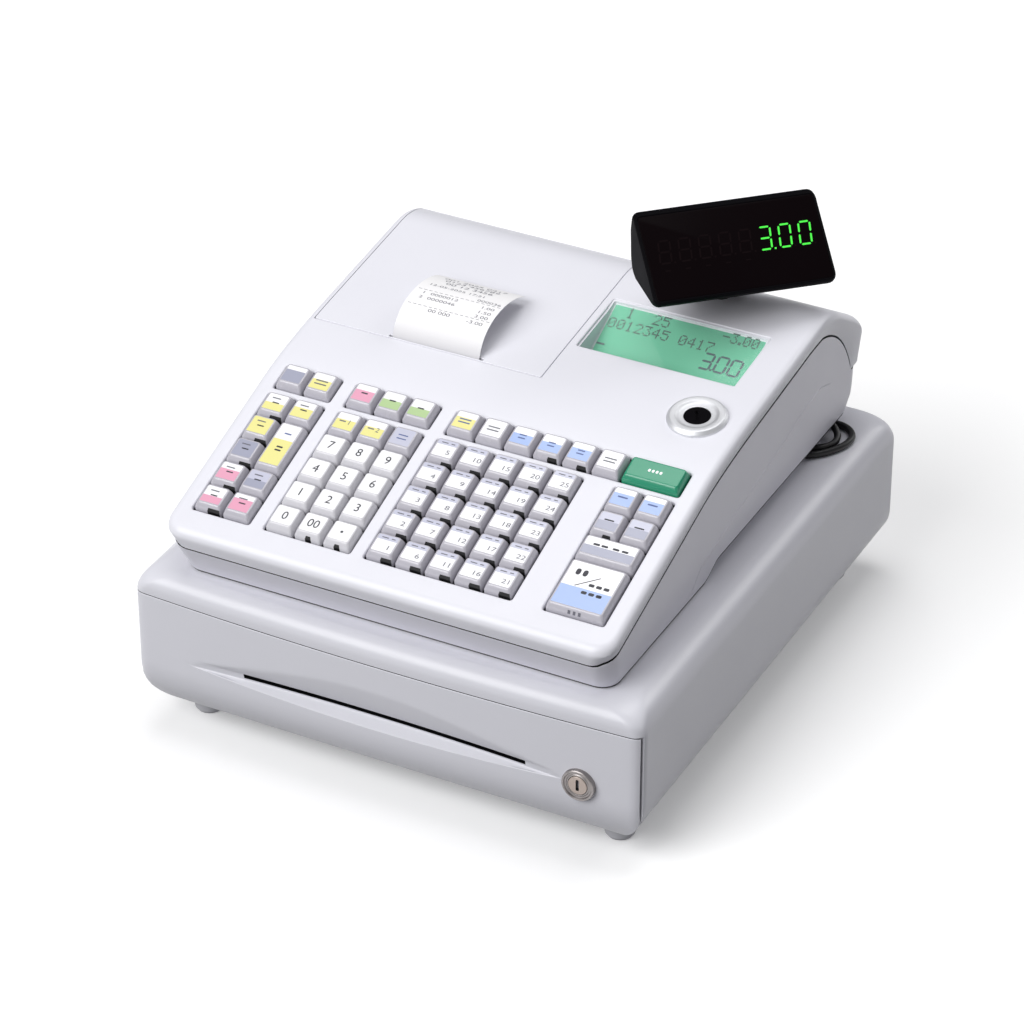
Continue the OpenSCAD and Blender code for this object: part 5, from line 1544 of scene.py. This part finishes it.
g = Geo("nickel")
turned(g, [(6.05, -16), (9.5, -16), (9.5, 0.8), (10.2, 0.9), (10.2, 3.3), (10.05, 3.9), (9.6, 4.25), (9.1, 4.35), (8.8, 4.2), (8.55, 3.7), (8.3, 3.3), (7.6, 3.2), (7.2, 3.35), (6.9, 3.65), (6.5, 3.75), (6.2, 3.6), (6.05, 3.2)], on_lock)
g.build("lock_ring", "drawer", ["lock_barrel"], angle=26)

g = Geo("plug")


def lock_slot(o):
    return rrect(-0.95 - o, -3.5 - o, 0.95 + o, 3.9 + o, 0.7 + o, n=4)


# painted shadow: the metal plug's keyway walls are near-black
slab(g, lambda o: circle(0, 0, 5.97 - o, 48), [lock_slot], [(k * math.cos(a), k * math.sin(a)) for k in (1.8, 3.0, 4.2, 5.1) for a in [2 * math.pi * i / 16 for i in range(16)]],
     lambda p, t: (LK[0] + p[0], -4.2 + t + 0.25 * (math.hypot(*p) / 6) ** 2, LK[1] + p[1]), 7.0, edge=0.5, hole_edge=0.3, hole_m="black")
lathe(g, [(5.9, -16.4), (5.9, -2.9)], on_lock, 40)
lathe(g, [(6.5, -18.9), (6.5, -16.4)], on_lock, 40)
cam_pts = rrect(LK[0] - 4.5, 34, LK[0] + 4.5, LK[1], 3.0, n=5)
g.loft([[(p[0], y, p[1]) for p in cam_pts] for y in (16.5, 18.9)])
g.build("lock_core", "lock_plug", ["lock_plug"], angle=30)

# ---------------------------------------------------------------- lower case
LA_, LB_, LC_ = (138.0, 16.0, 340.0, 11.0, 109.6), (142.0, 3.8, 350.0, 13.0, 132.2), (142.0, 3.8, 357.6, 13.0, 215.0)
fr_y = [(y - 14) / 330 for y in side_y]
front_f = [i / 8 - 1 for i in range(1, 16)]
back_x = [131.5, 120, 113, 106, 99, 92, 76, 58, 40, 20, 0, -20, -40, -60, -80, -100, -118, -131.5]


def low_dims(z):
    a, b = (LA_, LB_) if z < LB_[4] else (LB_, LC_)
    t = (z - a[4]) / (b[4] - a[4])
    return [a[k] + (b[k] - a[k]) * t for k in range(4)]


def low_point(col, z, d=0.0):
    hw_, y0, y1, r = low_dims(z)
    hw_, y0, y1, r = hw_ - d, y0 + d, y1 - d, max(r - d, 1.0)
    kind, v = col
    if kind == "F":
        return ((hw_ - r) * v, y0)
    if kind == "B":
        return (v / 131.5 * (hw_ - r) if abs(v) > 125 else v, y1)
    if kind == "R":
        return (hw_, y0 + r + v * (y1 - y0 - 2 * r))
    if kind == "L":
        return (-hw_, y0 + r + v * (y1 - y0 - 2 * r))
    cx, cy, a = {"LL": (-hw_ + r, y0 + r, 180), "LR": (hw_ - r, y0 + r, 270), "UR": (hw_ - r, y1 - r, 0), "UL": (-hw_ + r, y1 - r, 90)}[kind]
    a = math.radians(a + 90 * v)
    return (cx + r * math.cos(a), cy + r * math.sin(a))


N7 = [i / 7 for i in range(8)]
lcols = [("LL", v) for v in N7] + [("F", v) for v in front_f] + [("LR", v) for v in N7] + [("R", v) for v in fr_y] + [("UR", v) for v in N7] + [("B", v) for v in back_x[1:-1]] + [("UL", v) for v in N7] + [("L", v) for v in fr_y[::-1]]


def z_low(y):
    return float(np.interp(y, [0, 140, 152, 400], [109.6, 109.6, 119, 119]))


CR_Y = [0, 105, 113.3, 124.4, 155.3, 196.4, 238.4, 266.9, 288.7, 308.7, 336, 400]
CR_Z = [118, 116, 113.6, 131, 137.1, 144.7, 152.5, 159.3, 161.5, 155.7, 126.4, 126.4]


def levels(col):
    """Heights and insets of one column of the wall, from its lower edge to the seam."""
    z = 140.0
    for _ in range(6):
        y = low_point(col, z)[1]
        z = seam(y) - 1.2
    zt = z
    zb = z_low(low_point(col, 112)[1])
    y = low_point(col, (zt + zb) / 2)[1]
    zc = float(np.interp(y, CR_Y, CR_Z))
    w = float(np.interp(y, [108, 122, 298, 312], [0, 1, 1, 0]))
    if col[0] in ("F", "LL", "LR", "B", "UR", "UL"):
        w = 0.0
    zc = min(max(zc, zb + 3.4), zt - 4)
    dz = 0.75 * w
    # the first band, zb to zb + 1.25, is drawn near-black below: painted shadow along the contact with the cabinet
    res = [(zb, 0.1), (zb + 1.25, 0.1), (zb + 1.5, 0.0)]
    for f in (0.25, 0.5, 0.75, 1.0):
        res.append((zb + 1.5 + (zc - 0.55 - zb - 1.5) * f, 0.0))
    res.append((zc, dz))
    res.append((zc + 0.55, 0.0))
    for f in (0.2, 0.418, 0.636, 0.854):
        res.append((zc + 0.55 + (zt - 0.95 - zc) * f, 0.0))
    res += [(zt - 0.4, 0.0), (zt - 0.1, 0.12), (zt, 0.4)]
    return res


g = Geo("lower")
LV = [levels(c) for c in lcols]
nl = len(LV[0])
outer_ids = []
for k in range(nl):
    pts = []
    for c, lv in zip(lcols, LV):
        z, d = lv[k]
        x, y = low_point(c, z, d)
        pts.append((x, y, z))
    outer_ids.append(g.ring(pts))
inner_ids = []
for k in range(2, nl):
    pts = []
    for c, lv in zip(lcols, LV):
        z, d = lv[k]
        z = z if k > 2 else z + 1.6
        x, y = low_point(c, z, 2.6)
        pts.append((x, y, z))
    inner_ids.append(g.ring(pts))
ncol = len(lcols)
i120, i92 = lcols.index(("B", 120)), lcols.index(("B", 92))
K0, K1 = 6, 12                 # levels at z 126 and near z 146


def in_hole(i, k):
    return i120 <= i < i92 and K0 <= k < K1


# painted shadow: the lowest band of the wall and the topmost band in the seam are near-black
for k in range(nl - 1):
    for i in range(ncol):
        j = (i + 1) % ncol
        if in_hole(i, k):
            continue
        g.face((outer_ids[k][i], outer_ids[k][j], outer_ids[k + 1][j], outer_ids[k + 1][i]), "black" if k == 0 or k == nl - 2 else None)
for k in range(len(inner_ids) - 1):
    for i in range(ncol):
        j = (i + 1) % ncol
        if in_hole(i, k + 2):
            continue
        g.face((inner_ids[k][j], inner_ids[k][i], inner_ids[k + 1][i], inner_ids[k + 1][j]))
# painted shadow: the wall's top face in the seam is near-black
g.strip(outer_ids[-1], inner_ids[-1], "black")
for i in range(i120, i92):
    for k in (K0, K1):
        g.face((outer_ids[k][i], outer_ids[k][i + 1], inner_ids[k - 2][i + 1], inner_ids[k - 2][i]))
for i in (i120, i92):
    for k in range(K0, K1):
        g.face((outer_ids[k][i], outer_ids[k + 1][i], inner_ids[k - 1][i], inner_ids[k - 2][i]))
stp = [(x, y) for y in (60, 100, 134, 140.0, 146, 152.0, 158, 220, 280) for x in range(-120, 121, 24)]
for idl, dz in ((outer_ids[0], 0.0), (inner_ids[0], 2.6)):
    lp = [(g.v[i][0], g.v[i][1]) for i in idl]
    tr, st = cdt([lp], stp, 4)
    ex = g.ring([(x, y, z_low(y) + dz) for x, y in st])
    allid = idl + ex
    for t in tr:
        g.face([allid[i] for i in t])
# plinth behind, and the cable's two grommets
pl = [[(x, y, z) for x, y in rrect(-116, 128, 116, 330, 3, n=4, nx=6, ny=[180, 230, 270, 286, 300, 322])] for z in (109.6, 119.2)]
pin = [[(x, y, z) for x, y in rrect(-113.4, 130.6, 113.4, 327.4, 1.5, n=4, nx=6, ny=[180, 230, 270, 286, 300, 322])] for z in (119.2, 109.6)]
q = [g.ring(p) for p in pl + pin]
for a, b in zip(q, q[1:] + q[:1]):
    g.strip(a, b)
for cy, cz in ((286, 114.6), (322, 115.6)):
    turned(g, [(2.35, 114.6), (3.2, 114.6), (3.6, 115.9), (3.6, 116.5), (3.2, 117.0), (2.5, 117.0), (2.35, 116.8)], lambda r, a, w: (w, cy + r * math.cos(a), cz + r * math.sin(a)), 32)
lowc = g.build("lower_housing", "root", ["lower_case"], angle=34)


# ---------------------------------------------------------------- what the CAD already has right
def keep(node, m, bevel=0.3, angle=30, weld=True):
    """A CAD node whose shape is right: its finish, with its edges slightly broken."""
    ob = frame["nodes"][node]
    ob.data.materials.clear()
    ob.data.materials.append(M[m])
    if weld:
        w = ob.modifiers.new("weld", "WELD")
        w.merge_threshold = 2e-6
    if bevel:
        bv = ob.modifiers.new("edge", "BEVEL")
        bv.width = bevel / 1000
        bv.segments = 2
        bv.limit_method = "ANGLE"
        bv.angle_limit = math.radians(angle)
        bv.harden_normals = False
    return ob


mats_by_slot = {}
for sp_ in frame["record"]["subparts"]:
    for key in ("node", "name", "id"):
        if sp_.get(key) in frame["nodes"]:
            mats_by_slot[sp_[key]] = sp_.get("material_slot") or sp_.get("slot") or sp_.get("material")
            break
for n, ob in frame["nodes"].items():
    if not ob.hide_render:
        soft = n in ("till_insert", "drawer_tray", "cabinet_feet", "power_unit", "latch_solenoid", "main_board", "display_pole") or n.startswith("bill_clip")
        keep(n, SLOT_MAT.get(mats_by_slot.get(n, ""), "case"), bevel=0.35 if soft else 0)
